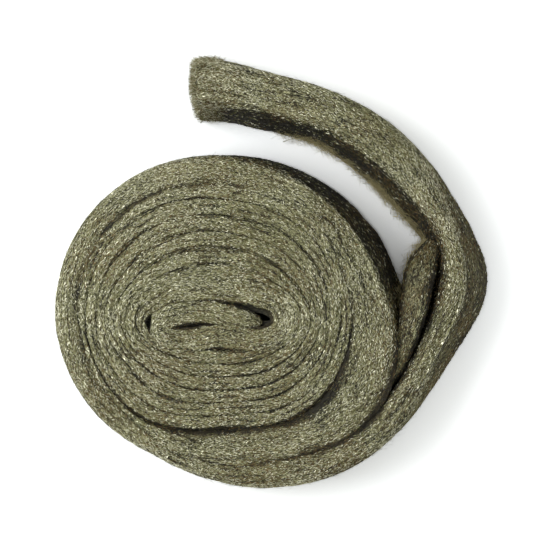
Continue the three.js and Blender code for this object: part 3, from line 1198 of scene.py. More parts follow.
@dataclass(frozen=True)
class WoolFinish:
    """The felted ground under the loose fibres: streaks of grey, olive and brown along the ribbon,
    with painted shade in the grooves, in the partings, beside the gap and low on the walls.

    Attributes:
        dark: Its darkest colour.
        brown: The ground between the streaks.
        light: The brightest streaks.
        streak: A streak's length and width.
        speck: A speck's length and width.
        patch: Size of the patches that are darker or browner.
        roughness: How rough it is.
        metallic: How metallic it is.
        groove_shade: How much painted shade a groove gets, from 0 to 1.
        parting_shade: The same for a parting between layers.
        open_light: How much of a groove's painted shade the open sides lose.
        low_shade_from: Height below which the painted shade is as deep as low down.
        low_shade_to: Height at which that painted shade has faded.
        low_shade_dark: How deep the painted shade is low down.
        gap_shade: How much deeper the painted shade is beside the gap and on the outer corner of
            the tail.
        deepest: How much of its light the darkest place loses.
        bump: How deep the streaks are.
    """

    dark: Row = (0.014, 0.012, 0.007)
    brown: Row = (0.085, 0.060, 0.022)
    light: Row = (0.61, 0.60, 0.33)
    streak: Row = (2.6 * MM, 0.34 * MM)
    speck: Row = (1.1 * MM, 0.55 * MM)
    patch: float = 12 * MM
    roughness: float = 0.6
    metallic: float = 0.3
    groove_shade: float = 0.9
    parting_shade: float = 0.8
    open_light: float = 0.8
    low_shade_from: float = 4 * MM
    low_shade_to: float = 36 * MM
    low_shade_dark: float = 0.55
    gap_shade: float = 0.45
    deepest: float = 0.93
    bump: float = 0.5 * MM

    def material(self) -> bpy.types.Material:
        """Builds the material from noise and from what the skin stores on its points.

        Returns:
            The material.
        """
        made, shader = new_material("felted steel wool")
        net = Net(made.node_tree)

        def read(name: str, output: str = "Fac") -> Term:
            """An attribute of the skin, as a number or as its vector output."""
            return net.out(
                net.add("ShaderNodeAttribute", attribute_name=name), output, output == "Vector")

        along, across, height = read("wool_at", "Vector").parts()
        long, wide = self.streak
        lines = net.noise(net.xyz(along / long, across / wide, height / wide), 2.0, 0.6, 0.6)
        speck = self.speck
        specks = net.noise(net.xyz(along / speck[0], across / speck[1] + 7.0,
                                   height / speck[1]), 2.0, 0.6, 1.4)
        streaks = lines * 0.4 + specks * 0.6
        patches = net.noise(net.xyz(along / self.patch, across / self.patch + 3.0,
                                    height / self.patch), 2.0)
        ground = net.blend(patches.eased(0.38, 0.62), self.dark, self.brown, vector=True)
        edge, bare, gap = read("crown_edge"), read("bare"), read("gap")
        # Painted shade in the grooves, less on the open sides except beside the gap.
        soft = 0.05 + (read("seam") + bare) * 0.10
        groove = read("from_crest").eased(edge - soft - 0.03, edge + soft) * self.groove_shade
        groove = groove * (1.0 - (bare - gap).most(0.0) * self.open_light)
        # Painted shade low on the walls, deeper beside the gap.
        low_shade = 1.0 - height.eased(self.low_shade_from, self.low_shade_to)
        low_shade = low_shade * (self.low_shade_dark + gap * self.gap_shade)
        # Painted shade in the partings between layers; the deepest of the painted shades darkens
        # the colour.
        parted = Streaks.term(net, read("wool_at", "Vector")) * self.parting_shade
        shaded = 1.0 - groove.most(low_shade).most(parted) * self.deepest
        shine = streaks.between(0.455, 0.60) * shaded
        colour = net.blend(shine, ground, self.light, vector=True)
        colour = net.blend(shaded.between(0.0, 0.5), self.dark, colour, vector=True)
        net.feed(shader.inputs["Base Color"], colour)
        shader.inputs["Metallic"].default_value = self.metallic
        shader.inputs["Roughness"].default_value = self.roughness
        bump = net.add("ShaderNodeBump", {
            "Strength": 1.0, "Distance": self.bump, "Height": streaks})
        net.feed(shader.inputs["Normal"], net.out(bump, "Normal", True))
        return made


@dataclass(frozen=True)
class DeepShadeFinish:
    """Wool deep inside the folds, painted almost black as shade, with painted light on its streaks
    near the top.

    Attributes:
        dark: Its colour low down.
        light: Its brightest streaks, at the top.
        streak: A streak's length and width.
        lit_from: Height at which the painted light on the streaks starts.
        lit_to: Height at which it is full.
        roughness: How rough it is.
    """

    dark: Row = (0.010, 0.009, 0.006)
    light: Row = (0.13, 0.12, 0.07)
    streak: Row = (2 * MM, 0.4 * MM)
    lit_from: float = 30 * MM
    lit_to: float = 35 * MM
    roughness: float = 0.8

    def material(self) -> bpy.types.Material:
        """Builds the material from noise that is stretched along X.

        Returns:
            The material.
        """
        made, shader = new_material("deep steel wool")
        net = Net(made.node_tree)
        place = net.out(net.add("ShaderNodeTexCoord"), "Object", True)
        x, y, z = place.parts()
        long, wide = self.streak
        streaks = net.noise(net.xyz(x / long, y / wide, z / wide), 3.0, 0.6)
        # Painted light: the streaks show only near the top of the folds; below it is painted shade.
        lit = streaks.between(0.42, 0.68) * z.between(self.lit_from, self.lit_to)
        colour = net.blend(lit, self.dark, self.light, vector=True)
        net.feed(shader.inputs["Base Color"], colour)
        shader.inputs["Roughness"].default_value = self.roughness
        return made


def plain_copy(source: bpy.types.Object, name: str) -> bpy.types.Object:
    """Turns an object with a geometry nodes modifier into a plain mesh object.

    Args:
        source: The object with the modifier; it is removed.
        name: The new object's name.

    Returns:
        The plain object, at the origin.
    """
    graph = bpy.context.evaluated_depsgraph_get()
    mesh = bpy.data.meshes.new_from_object(source.evaluated_get(graph))
    mesh.name = name
    made = added(name, mesh)
    bpy.data.objects.remove(source)
    return made


def apply_group(
    obj: bpy.types.Object, tree: bpy.types.NodeTree, values: dict[str, Any]
) -> None:
    """Adds a node group to an object as a modifier.

    Args:
        obj: The object.
        tree: The node group.
        values: Its named inputs, apart from the geometry.
    """
    modifier = obj.modifiers.new(tree.name, "NODES")
    modifier.node_group = tree
    sockets = {item.name: item.identifier for item in tree.interface.items_tree
               if item.item_type == "SOCKET" and item.in_out == "INPUT"}
    for label, value in values.items():
        modifier[sockets[label]] = value


def finished(obj: bpy.types.Object, piece: str) -> bpy.types.Object:
    """Makes an object ride on the part in the part's one slot, and reports it.

    Args:
        obj: The object.
        piece: The name that it is reported by.

    Returns:
        The object.
    """
    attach(obj, BODY)
    obj.data.calc_loop_triangles()
    log.info("%s: %d triangles", piece, len(obj.data.loop_triangles))
    return obj


@dataclass
class Skin:
    """The felted body of the ribbon, as a closed skin.

    Attributes:
        section: How its section is drawn.
        finish: Its finish.
        uv_rows: Rows that the ribbon's strip is cut into on the UV map.
        weld: Distance within which points are one.
        section_group: The node group of the section, once it is built.
    """

    section: Section
    finish: WoolFinish
    uv_rows: int = 5
    weld: float = 0.02 * MM
    section_group: bpy.types.NodeTree = field(init=False)

    def tree(self) -> bpy.types.NodeTree:
        """Makes the group that sweeps a guide, closes its seam and gives it its finish.

        Returns:
            The group's tree.
        """
        net = NodeGroup("Closed ribbon", {
            "Geometry": "geometry", "Strand": "int", "Material": "material"})
        skin = net.nested(self.section_group, {
            "Guide": net.given("Geometry"), "Strand": net.given("Strand")})
        skin = self.unwrapped(net, skin)
        closed = net.out(net.add(
            "GeometryNodeMergeByDistance", {"Geometry": skin, "Distance": self.weld}))
        smooth = net.out(net.add("GeometryNodeSetShadeSmooth", {"Geometry": closed}))
        return net.finish(net.coated(net.realized(smooth)))

    def unwrapped(self, net: NodeGroup, skin: Term) -> Term:
        """Gives the skin a UV map: the ribbon's strip cut into rows, one above the other.

        Args:
            net: The group under construction.
            skin: The skin.

        Returns:
            The skin with the map.
        """
        along, around, _ = net.attribute("ribbon_uv", "FLOAT_VECTOR").parts()
        on_face = net.out(net.add(
            "GeometryNodeFieldOnDomain", {0: along}, data_type="FLOAT", domain="FACE"))
        row = net.maths("FLOOR", on_face * float(self.uv_rows))
        u = (along * float(self.uv_rows) - row) * 0.97 + 0.015
        v = (row + around * 0.94 + 0.03) / float(self.uv_rows)
        stored = net.add("GeometryNodeStoreNamedAttribute", {
            "Geometry": skin, "Name": "OFBake", "Value": net.xyz(u, v, 0.0)},
            data_type="FLOAT2", domain="CORNER")
        return net.out(stored)

    def build(self, strands: Sequence[Strand]) -> list[bpy.types.Object]:
        """Sweeps each strand.

        Args:
            strands: The strands, main ribbon first.

        Returns:
            A closed mesh object for each.
        """
        self.section_group = self.section.group()
        tree, material = self.tree(), self.finish.material()
        made = []
        for number, strand in enumerate(strands):
            guide = strand.guide()
            apply_group(guide, tree, {"Strand": number, "Material": material})
            made.append(plain_copy(guide, strand.name.replace("guide", "skin")))
        return made


class Region(Enum):
    """The parts of the ribbon's surface that fibres are strewn on."""

    CROWN = "crown"
    GROOVE = "groove"
    GAP = "gap"
    SEAM = "seam"
    WALL = "wall"
    LOW_WALL = "low wall"
    FOOT = "foot"
    FRINGE = "fringe"
    TUCK = "tuck"

    @staticmethod
    def masks(net: NodeGroup) -> dict["Region", Term]:
        """Where each region is.

        Args:
            net: The group under construction.

        Returns:
            For each region 1 inside it and 0 outside.
        """
        foot_starts, grooves_end, cut_end = 0.88, 0.54, 0.985
        low_walls, high_walls, fringe_ends = 13 * MM, 34 * MM, 14 * MM
        from_crest, bare = net.attribute("from_crest"), net.attribute("bare")
        _, _, height = net.position().parts()
        edge, soft = net.attribute("crown_edge"), bare * 0.10 + 0.05
        crown = from_crest.between(edge + soft, edge - soft)
        foot = from_crest > foot_starts
        rest = (1.0 - crown) * (1.0 - foot)
        groove = rest * (from_crest < grooves_end) * (1.0 - bare)
        seam = net.attribute("seam").between(0.2, 0.8)
        # Open walls that get painted shade: dark fibres gather there.
        gap = rest * bare * net.attribute("gap")
        wall = rest * bare * (1.0 - net.attribute("gap"))
        along, _, _ = net.attribute("ribbon_uv", "FLOAT_VECTOR").parts()
        inner_side = net.attribute("tail") * (along < cut_end)
        inner_side = inner_side.most(net.attribute("strand") * bare)
        high = height.between(low_walls, high_walls)
        return {
            Region.CROWN: crown * (1.0 - net.attribute("strand")),
            Region.TUCK: crown * net.attribute("strand"),
            Region.GROOVE: groove * (1.0 - seam),
            Region.SEAM: groove * seam,
            Region.GAP: gap,
            Region.WALL: wall * high,
            Region.LOW_WALL: wall * (1.0 - high),
            Region.FOOT: foot,
            Region.FRINGE: gap * (height < fringe_ends) * inner_side,
        }


@dataclass
class FibrePiece:
    """A scatter of loose fibres of one tone over the ribbon.

    Attributes:
        name: The piece's name.
        finish: Its finish.
        seed: Its own random seed.
        cover: Fibres to the square millimetre in each region.
        length: A fibre's usual length.
        radius: Half its width.
        spread: How far its direction strays from the ribbon's, in degrees.
        lift: How far its middle stands above the felt.
        tilt: How far its ends rise or dip, in degrees.
        in_streaks: How much denser the fibres lie in the partings of painted shade than beside
            them.
        in_patches: How strongly they gather in the patches of the piece's own shade.
        towards: The way in which the roll has more of them, as an x and y slope for each metre; for
            the shade, steel and glint fibres this is painted light falling from the upper left.
        shapes: Different waves among them.
        segments: Straight lengths in a fibre. With 0 it is a plain sliver.
    """

    PATCH = 26 * MM  # size of the patches
    CROWN_REACH = 0.205  # how far round the section a fibre of the crown may lie from the crest
    FULL_REACH = 0.498  # the same for any other fibre
    SEAM_REACH = 0.05  # how much less far it may beside the main groove
    KEEP_COURSE = 0.9  # the share of fibres that keep to their spread
    ASTRAY_BY = 1.5  # how much wider the others stray, as a share of the spread
    LENGTHS = (0.55, 1.35)  # the shortest and longest, as a share of the usual length
    LEAST_COVER = 0.15  # the share of the cover that is left between patches
    SWAY = 0.11  # a wave's height sideways, as a share of the length
    BOB = 0.022  # a wave's height upwards, the same way

    name: str
    finish: FibreFinish
    seed: int
    cover: dict[Region, float]
    length: float = 1.45 * MM
    radius: float = 0.13 * MM
    spread: float = 56.0
    lift: float = 0.12 * MM
    tilt: float = 4.0
    in_streaks: float = 0.05
    in_patches: float = 0.6
    towards: tuple[float, float] = (0.0, 0.0)
    shapes: int = 5
    segments: int = 0

    def template(self, net: NodeGroup, shape: int) -> Term:
        """One fibre along X: a closed prism that waves, or a short one that runs to a point.

        Args:
            net: The group under construction.
            shape: Which of the waves it has.

        Returns:
            Its mesh as a single instance.
        """
        if not self.segments:
            return self.sliver(net)
        line = net.add("GeometryNodeMeshLine", {
            "Count": self.segments + 1, "Start Location": (-self.length / 2, 0.0, 0.0),
            "Offset": (self.length / self.segments, 0.0, 0.0)}, mode="OFFSET")
        x, _, _ = net.position().parts()
        phase = 2.4 * shape
        sideways = (x * (2 * math.pi / (self.length * (0.75 + 0.17 * shape))) + phase).sin()
        upwards = (x * (2 * math.pi / (self.length * 0.62)) + phase * 1.7).sin()
        wave = net.xyz(
            0.0, sideways * (self.SWAY * self.length), upwards * (self.BOB * self.length))
        bent = net.moved(net.out(line), offset=wave)
        curve = net.out(net.add("GeometryNodeMeshToCurve", {0: bent}))
        profile = net.add("GeometryNodeCurvePrimitiveCircle", {
            "Resolution": 3, "Radius": self.radius}, mode="RADIUS")
        tube = net.add("GeometryNodeCurveToMesh", {
            "Curve": curve, "Profile Curve": net.out(profile), "Fill Caps": True})
        return net.out(net.add("GeometryNodeGeometryToInstance", {0: net.out(tube)}))

    def sliver(self, net: NodeGroup) -> Term:
        """Makes a straight short fibre with three sides that runs to a point.

        Args:
            net: The group under construction.

        Returns:
            Its mesh as a single instance.
        """
        cone = net.add("GeometryNodeMeshCone", {
            "Vertices": 3, "Side Segments": 1, "Fill Segments": 1, "Radius Top": 0.0,
            "Radius Bottom": self.radius, "Depth": self.length}, fill_type="NGON")
        laid = net.add("GeometryNodeTransform", {
            "Geometry": net.out(cone), "Translation": (-self.length / 2, 0.0, 0.0),
            "Rotation": (0.0, math.pi / 2, 0.0)})
        return net.out(net.add("GeometryNodeGeometryToInstance", {0: net.out(laid)}))

    def tree(self, skin_group: bpy.types.NodeTree) -> bpy.types.NodeTree:
        """The group that strews the fibres and wraps them round the ribbon.

        Args:
            skin_group: The group that makes the ribbon's skin.

        Returns:
            The piece's node tree.
        """
        net = NodeGroup(f"Strewn {self.name}", {
            "Geometry": "geometry", "Tuck": "object", "Material": "material"})
        tuck = net.out(net.add("GeometryNodeObjectInfo", {"Object": net.given("Tuck")}), "Geometry")
        ribbon = net.nested(skin_group, {"Guide": net.given("Geometry"), "Strand": 0})
        second = net.nested(skin_group, {"Guide": tuck, "Strand": 1})
        joined = net.add("GeometryNodeJoinGeometry")
        for part in (ribbon, second):
            net.feed(joined.inputs[0], part)
        skin = net.out(joined)
        along, around, _ = net.attribute("ribbon_uv", "FLOAT_VECTOR").parts()
        strand = net.attribute("strand")
        skin = net.store(skin, "sheet_uv", net.xyz(along, around + strand * 2.0), "FLOAT_VECTOR")
        flat = self.strewn(net, skin)
        return net.finish(self.wrapped(net, flat, skin))

    def strewn(self, net: NodeGroup, skin: Term) -> Term:
        """Lays the fibres out flat, along X, each with what is needed to wrap it.

        Args:
            net: The group under construction.
            skin: The skin that they are strewn on.

        Returns:
            The flat fibres.
        """
        masks = Region.masks(net)
        density = sum((masks[region] * (count / MM**2) for region, count in self.cover.items()),
                      start=masks[Region.FOOT] * 0.0)
        streak = net.attribute("streak")
        density = density * (1.0 + streak * (self.in_streaks - 1.0))
        shift = net.xyz(self.seed * 0.37, 0.0, 0.0)
        patch = net.noise(net.position() * (1 / self.PATCH) + shift, 1.0) - 0.5
        px, py, _ = net.position().parts()
        density = density * (1.0 + patch * (4.0 * self.in_patches)
                             + px * self.towards[0] + py * self.towards[1]
                             ).most(self.LEAST_COVER)
        points = net.add("GeometryNodeDistributePointsOnFaces", {
            "Mesh": skin, "Density": density, "Seed": self.seed}, distribute_method="RANDOM")
        along, around, _ = net.attribute("sheet_uv", "FLOAT_VECTOR").parts()
        length = (net.attribute("station_count") - 1.0) * STATION_STEP
        on_crown = net.attribute("from_crest") < 2 * self.CROWN_REACH
        crown_reach = self.CROWN_REACH - net.attribute("seam") * self.SEAM_REACH
        cloud = net.store(net.out(points), "home", around)
        cloud = net.store(cloud, "reach", net.blend(on_crown, self.FULL_REACH, crown_reach))
        cloud = net.store(cloud, "strand_length", length)
        cloud = net.moved(cloud, position=net.xyz(along * length, 0.0, 0.0))
        shapes = net.add("GeometryNodeJoinGeometry")
        for shape in range(self.shapes if self.segments else 1):
            net.feed(shapes.inputs[0], self.template(net, shape))
        cast = net.random(-1.0, 1.0, self.seed + 1) + net.random(-1.0, 1.0, self.seed + 2)
        astray = net.random(0.0, 1.0, self.seed + 3) > self.KEEP_COURSE
        turned = cast * math.radians(self.spread / 2) * (1.0 + astray * self.ASTRAY_BY)
        turned = turned + (net.random(0.0, 1.0, self.seed + 8) > 0.5) * math.pi
        rolled = net.random(0.0, 2 * math.pi, self.seed + 7)
        tipped = net.random(-1.0, 1.0, self.seed + 4) * math.radians(self.tilt)
        longer = net.random(*self.LENGTHS, self.seed + 6)
        placed = net.add("GeometryNodeInstanceOnPoints", {
            "Points": cloud, "Instance": net.out(shapes), "Pick Instance": True,
            "Rotation": net.xyz(rolled, tipped, turned),
            "Scale": net.xyz(longer, 1.0, 1.0)})
        return net.realized(net.out(placed))

    def wrapped(self, net: NodeGroup, flat: Term, skin: Term) -> Term:
        """Wraps the flat fibres onto the skin and gives them the piece's material.

        Args:
            net: The group under construction.
            flat: The flat fibres.
            skin: The skin.

        Returns:
            The wrapped fibres.
        """
        x, y, z = net.position().parts()
        length = net.attribute("strand_length")
        along = (x / length).most(0.0005).least(0.9995)
        crest = net.attribute("strand") * 2.0 + 0.5
        reach = net.attribute("reach")
        around = net.attribute("home") + y / net.attribute("across_size")
        around = around.most(crest - reach).least(crest + reach)
        spot = net.xyz(along, around, 0.0)

        def read(value: Term) -> Term:
            """Reads the skin at the fibre's place on it.

            Args:
                value: What to read.

            Returns:
                Its value there.
            """
            node = net.add("GeometryNodeSampleUVSurface", data_type="FLOAT_VECTOR")
            sheet = net.attribute("sheet_uv", "FLOAT_VECTOR")
            for socket, given in zip([s for s in node.inputs if s.enabled],
                                     (skin, value, sheet, spot)):
                net.feed(socket, given)
            return net.out(node, "Value", True)

        normal = net.out(net.add("GeometryNodeInputNormal"), 0, True)
        surface = read(net.position()) + read(normal) * (z + self.lift)
        px, py, pz = surface.parts()
        above_bench = net.xyz(px, py, pz.most(OFF_BENCH))
        return net.coated(net.realized(net.moved(flat, position=above_bench)))

    def build(
        self, ribbon: Strand, tuck: Strand, skin_group: bpy.types.NodeTree
    ) -> bpy.types.Object:
        """Strews the fibres.

        Args:
            ribbon: The main strand.
            tuck: The tuck's strand.
            skin_group: The group that makes the ribbon's skin.

        Returns:
            The piece as a plain mesh.
        """
        guide, tuck_guide = ribbon.guide(), tuck.guide()
        apply_group(guide, self.tree(skin_group), {
            "Tuck": tuck_guide, "Material": self.finish.material()})
        made = plain_copy(guide, self.name)
        bpy.data.objects.remove(tuck_guide)
        return made


@dataclass
class Felt:
    """The wool between the turns, below the grooves, with the open end of the innermost fold.

    Attributes:
        bottom: Its lowest height.
        top: Its top's height.
        into_turn: How far it reaches into the outermost turn, as a share of that one's thickness.
        hollow_at: Middle of the hollow in the innermost fold, from the winding's middle.
        hollow_half: Half the hollow's length and width.
        hollow_turned: How far the hollow is turned, in degrees.
        hollow_depth: How deep it is.
        outline_step: Angle between two points of the outline, in degrees.
        hollow_step: Angle between two points of the hollow's rim, in degrees.
    """

    bottom: float = 2 * MM
    top: float = 33.6 * MM
    into_turn: float = 0.35
    hollow_at: tuple[float, float] = (13.0 * MM, 1.9 * MM)
    hollow_half: tuple[float, float] = (4.6 * MM, 1.4 * MM)
    hollow_turned: float = -16.0
    hollow_depth: float = 16 * MM
    outline_step: float = 6.0
    hollow_step: float = 15.0

    def outline(self, winding: Winding) -> np.ndarray:
        """A line inside the last whole turn before the tail.

        Args:
            winding: The winding.

        Returns:
            Its points, from the winding's middle.
        """
        start = winding.tail_start - 360 + self.outline_step
        degrees = np.arange(start, winding.tail_start, self.outline_step)
        inner, outer = winding.inner_face(degrees), winding.outer_face(degrees)
        reach = (inner + self.into_turn * (outer - inner)) * MM
        angle = np.radians(degrees)
        return np.column_stack([reach * np.cos(angle), reach * np.sin(angle)])

    def mouth(self) -> np.ndarray:
        """The hollow's rim.

        Returns:
            Its points, from the winding's middle.
        """
        angle = np.radians(np.arange(0, 360, self.hollow_step))
        x, y = self.hollow_half[0] * np.cos(angle), self.hollow_half[1] * np.sin(angle)
        turn = math.radians(self.hollow_turned)
        return np.column_stack([
            self.hollow_at[0] + x * math.cos(turn) - y * math.sin(turn),
            self.hollow_at[1] + x * math.sin(turn) + y * math.cos(turn)])

    def build(self, winding: Winding, shift: tuple[float, float]) -> bpy.types.Object:
        """Raises the outline into a solid and sinks the hollow into it.

        Args:
            winding: The winding that it fills.
            shift: Where the winding's middle is, in metres.

        Returns:
            A closed solid.
        """
        shape = bmesh.new()

        def ring(outline: np.ndarray, height: float) -> list:
            """Vertices along an outline at a height."""
            return [shape.verts.new((x + shift[0], y + shift[1], height)) for x, y in outline]

        def wall(low: list, high: list) -> None:
            """Faces from one ring up to another."""
            for i in range(len(low)):
                j = (i + 1) % len(low)
                shape.faces.new((low[i], low[j], high[j], high[i]))

        outer, mouth = self.outline(winding), self.mouth()
        foot, brim = ring(outer, self.bottom), ring(outer, self.top)
        rim, pit = ring(mouth, self.top), ring(mouth, self.top - self.hollow_depth)
        wall(foot, brim)
        wall(rim, pit)
        shape.faces.new(foot[::-1])
        shape.faces.new(pit)
        edges = [Vector((*v.co.xy, 0.0)) for v in brim], [Vector((*v.co.xy, 0.0)) for v in rim]
        corners = brim + rim
        for triangle in tessellate_polygon(edges):
            shape.faces.new([corners[i] for i in triangle])
        bmesh.ops.recalc_face_normals(shape, faces=shape.faces)
        mesh = bpy.data.meshes.new("felt")
        shape.to_mesh(mesh)
        shape.free()
        return added("felt", mesh)


@dataclass
class EndFibres:
    """Fibres that stick out of the tail's cut end in every direction.

    Attributes:
        name: The piece's name.
        finish: Its finish.
        seed: Its own random seed.
        density: Fibres to the square millimetre.
        heading: The way that the end points, in radians from +X.
        length: A fibre's usual length.
        radius: Half its width.
        spread: How far its direction strays from the heading, in degrees.
        end_stations: Stations from the end over which they stand.
        lengths: The shortest and longest, as a share of the usual length.
    """

    name: str
    finish: FibreFinish
    seed: int
    density: float
    heading: float
    length: float = 5.0 * MM
    radius: float = 0.06 * MM
    spread: float = 34.0
    end_stations: float = 7.0
    lengths: Row = (0.5, 1.3)

    def tree(self, skin_group: bpy.types.NodeTree) -> bpy.types.NodeTree:
        """Makes the group that stands the fibres on the end of the skin.

        Args:
            skin_group: The group that makes the ribbon's skin.

        Returns:
            The piece's node tree.
        """
        net = NodeGroup(f"Strewn {self.name}", {
            "Geometry": "geometry", "Material": "material"})
        skin = net.nested(skin_group, {"Guide": net.given("Geometry"), "Strand": 0})
        along, _, _ = net.attribute("ribbon_uv", "FLOAT_VECTOR").parts()
        ends = along > 1.0 - self.end_stations / net.attribute("station_count")
        points = net.add("GeometryNodeDistributePointsOnFaces", {
            "Mesh": skin, "Density": ends * (self.density / MM**2), "Seed": self.seed},
            distribute_method="RANDOM")
        shapes = net.add("GeometryNodeJoinGeometry")
        maker = FibrePiece(
            "end", self.finish, self.seed, {}, self.length, self.radius, segments=2)
        for shape in range(maker.shapes):
            net.feed(shapes.inputs[0], maker.template(net, shape))

        def cast(step: int) -> Term:
            """A random angle, mostly small.

            Args:
                step: What is added to the piece's seed.

            Returns:
                The angle, in radians.
            """
            seed = self.seed + step
            pair = net.random(-1.0, 1.0, seed) + net.random(-1.0, 1.0, seed + 1)
            return pair * math.radians(self.spread)

        placed = net.add("GeometryNodeInstanceOnPoints", {
            "Points": net.out(points), "Instance": net.out(shapes), "Pick Instance": True,
            "Rotation": net.xyz(0.0, cast(1), self.heading + cast(3)),
            "Scale": net.xyz(net.random(*self.lengths, self.seed + 5), 1.0, 1.0)})
        x, y, z = net.position().parts()
        above_bench = net.xyz(x, y, z.most(OFF_BENCH))
        whole = net.moved(net.realized(net.out(placed)), position=above_bench)
        return net.finish(net.coated(whole))

    def build(self, ribbon: Strand, skin_group: bpy.types.NodeTree) -> bpy.types.Object:
        """Stands the fibres on the end.

        Args:
            ribbon: The main strand.
            skin_group: The group that makes the ribbon's skin.

        Returns:
            The piece as a plain mesh.
        """
        guide = ribbon.guide()
        apply_group(guide, self.tree(skin_group), {"Material": self.finish.material()})
        return plain_copy(guide, self.name)


@dataclass
class Studio:
    """The bench, the light and the camera.

    Attributes:
        view_width: What the picture spans at the middle of the roll's height.
        distance: The camera's height above that.
        middle: The height that the picture's width is measured at.
        centre: What the camera looks straight down at.
        sensor: Width of the camera's sensor, in millimetres.
        key_power: The key light's power, in watts.
        key_size: Its width.
        key_at: Where it is.
        sky: Colour of the light from all round.
        sky_strength: Its strength.
        bench: The bench's colour in its reflected light.
        bench_seen: Its colour as the camera sees it, which is pure white in the photograph.
        bench_half: Half the bench's width.
    """

    view_width: float = 533 * 0.406 * MM
    distance: float = 3.0
    middle: float = 22 * MM
    centre: tuple[float, float] = (-2.7 * MM, 2.2 * MM)
    sensor: float = 36.0
    key_power: float = 7.1
    key_size: float = 0.7
    key_at: Row = (-0.72, 0.14, 1.00)
    sky: Row = (0.985, 0.985, 0.97)
    sky_strength: float = 0.62
    bench: Row = (0.72, 0.72, 0.71)
    bench_seen: Row = (1.76, 1.80, 1.82)
    bench_half: float = 3.0

    def build(self) -> None:
        """Sets up everything that isn't part of the object."""
        self.floor()
        self.key()
        self.world()
        self.camera()
        bpy.context.scene.view_settings.view_transform = "Standard"

    def floor(self) -> None:
        """A white bench top that fills the view."""
        mesh = bpy.data.meshes.new("bench")
        half = self.bench_half
        corners = [(-half, -half, 0), (half, -half, 0), (half, half, 0), (-half, half, 0)]
        mesh.from_pydata(corners, [], [(0, 1, 2, 3)])
        bench = added("bench", mesh)
        paint, shader = new_material("white bench")
        net = Net(paint.node_tree)
        paint.node_tree.nodes.remove(shader)
        path = net.add("ShaderNodeLightPath")
        colour = net.blend(net.out(path, "Is Camera Ray"), self.bench, self.bench_seen, vector=True)
        diffuse = net.add("ShaderNodeBsdfDiffuse", {"Color": colour})
        net.feed(paint.node_tree.nodes["Material Output"].inputs["Surface"], net.out(diffuse))
        mesh.materials.append(paint)

    def key(self) -> None:
        """A large soft light from the upper left of the picture."""
        light = bpy.data.lights.new("key", "AREA")
        light.energy = self.key_power
        light.size = self.key_size
        obj = added("key", light)
        obj.location = self.key_at
        obj.rotation_mode = "QUATERNION"
        obj.rotation_quaternion = (-Vector(self.key_at)).to_track_quat("-Z", "Y")

    def world(self) -> None:
        """Even light from all round."""
        world = bpy.data.worlds.new("studio")
        bpy.context.scene.world = world
        world.use_nodes = True
        background = world.node_tree.nodes["Background"]
        background.inputs["Color"].default_value = (*self.sky, 1.0)
        background.inputs["Strength"].default_value = self.sky_strength

    def camera(self) -> None:
        """Looks straight down, with the picture's top towards +Y."""
        data = bpy.data.cameras.new("camera")
        data.sensor_width = self.sensor
        data.lens = self.sensor * self.distance / self.view_width
        camera = added("camera", data)
        camera.location = (*self.centre, self.middle + self.distance)
        bpy.context.scene.camera = camera


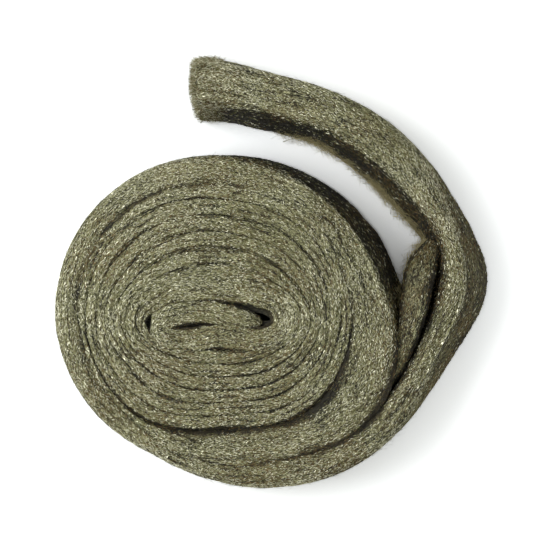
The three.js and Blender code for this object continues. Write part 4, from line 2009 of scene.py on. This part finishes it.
@dataclass
class SteelWoolRoll:
    """The whole object.

    Attributes:
        winding: The ribbon's route.
        section: How its section is drawn.
        middle: The winding's middle in the part's frame, in metres.
    """

    winding: Winding = field(default_factory=Winding)
    section: Section = field(default_factory=Section)
    middle: tuple[float, float] = (-18.633 * MM, -19.894 * MM)

    def fibre_pieces(self) -> list[FibrePiece]:
        """The scatters of fibres.

        Returns:
            The pieces, from the darkest to the brightest, and then the long ones.
        """
        crown, groove, seam, wall = Region.CROWN, Region.GROOVE, Region.SEAM, Region.WALL
        low, foot, fringe, tuck = Region.LOW_WALL, Region.FOOT, Region.FRINGE, Region.TUCK
        gap = Region.GAP
        # In the grooves, the main groove and the gap region the dark fibres outnumber the bright
        # ones: painted shade. The towards slopes of the shade, steel and glint fibres paint light
        # falling from the upper left.
        return [
            FibrePiece("shade_fibres", FibreFinish(Tone.SHADE), 100,
                       {crown: 0.54, tuck: 1.0, groove: 1.2, seam: 1.4, gap: 0.5, wall: 0.14,
                        low: 0.1, foot: 0.01},
                       length=1.5 * MM, radius=0.12 * MM, spread=44.0, lift=0.2 * MM,
                       in_streaks=4.2, in_patches=0.3, towards=(2.0, -1.0)),
            FibrePiece("brown_fibres", FibreFinish(Tone.BROWN), 200,
                       {crown: 1.0, tuck: 1.2, groove: 0.35, seam: 1.3, gap: 0.42, wall: 0.6,
                        low: 0.5, foot: 0.01},
                       lift=0.10 * MM, in_streaks=0.4, in_patches=2.2, towards=(-1.0, -9.0)),
            FibrePiece("olive_fibres", FibreFinish(Tone.OLIVE), 300,
                       {crown: 1.1, tuck: 0.6, groove: 0.1, seam: 0.4, gap: 0.14, wall: 0.6,
                        low: 0.4, foot: 0.01},
                       lift=0.14 * MM),
            FibrePiece("steel_fibres", FibreFinish(Tone.STEEL), 400,
                       {crown: 1.3, tuck: 0.35, groove: 0.05, seam: 0.06, gap: 0.06,
                        wall: 0.5, low: 0.3, foot: 0.01},
                       lift=0.17 * MM, towards=(-2.5, 2.0)),
            FibrePiece("glint_fibres", FibreFinish(Tone.GLINT, 0.4, 0.35), 500,
                       {crown: 1.2, tuck: 0.25, gap: 0.06, wall: 0.22, low: 0.1},
                       length=1.3 * MM, lift=0.2 * MM, towards=(-3.5, 1.0)),
            # Loose fibres low on the tail's inner side, whose straw colour is painted light through
            # the sparse wool.
            FibrePiece("fringe_fibres", FibreFinish(Tone.STRAW, 0.2, 0.5), 600,
                       {fringe: 1.9}, length=9 * MM, radius=0.05 * MM, spread=80.0,
                       tilt=46.0, segments=2),
            FibrePiece("stray_fibres", FibreFinish(Tone.OLIVE), 700,
                       {crown: 0.02, wall: 0.06, low: 0.01}, length=7 * MM, radius=0.04 * MM,
                       spread=60.0, tilt=22.0, segments=2),
        ]

    def build(self) -> None:
        """Builds every piece in order and reports it."""
        ribbon = self.winding.ribbon(self.middle).spaced(STATION_STEP)
        tuck = self.winding.tuck(self.middle).spaced(STATION_STEP)
        log.info("ribbon: %.2f m long, %d stations", ribbon.length(), len(ribbon.middle))
        skin = Skin(self.section, WoolFinish())
        skins = skin.build([ribbon, tuck])
        for obj in skins:
            finished(obj, obj.name)
        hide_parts(NODE)
        felt = Felt().build(self.winding, self.middle)
        # The felt's finish paints the shade deep inside the roll.
        felt.data.materials.append(DeepShadeFinish().material())
        finished(felt, "felt")
        for piece in self.fibre_pieces():
            finished(piece.build(ribbon, tuck, skin.section_group), piece.name)
        last = ribbon.outwards[-1]
        heading = math.atan2(last[0], -last[1])
        for end in (EndFibres("end_fibres", FibreFinish(Tone.OLIVE), 800, 0.7, heading),
                    EndFibres("dark_end_fibres", FibreFinish(Tone.BROWN), 830, 0.5, heading),
                    EndFibres("bright_end_fibres", FibreFinish(Tone.GLINT), 850, 0.5, heading)):
            finished(end.build(ribbon, skin.section_group), end.name)


def main() -> None:
    """Builds the roll and the studio."""
    logging.basicConfig(level=logging.INFO, format="%(message)s")
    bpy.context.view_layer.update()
    SteelWoolRoll().build()
    Studio().build()


if __name__ == "__main__":
    main()
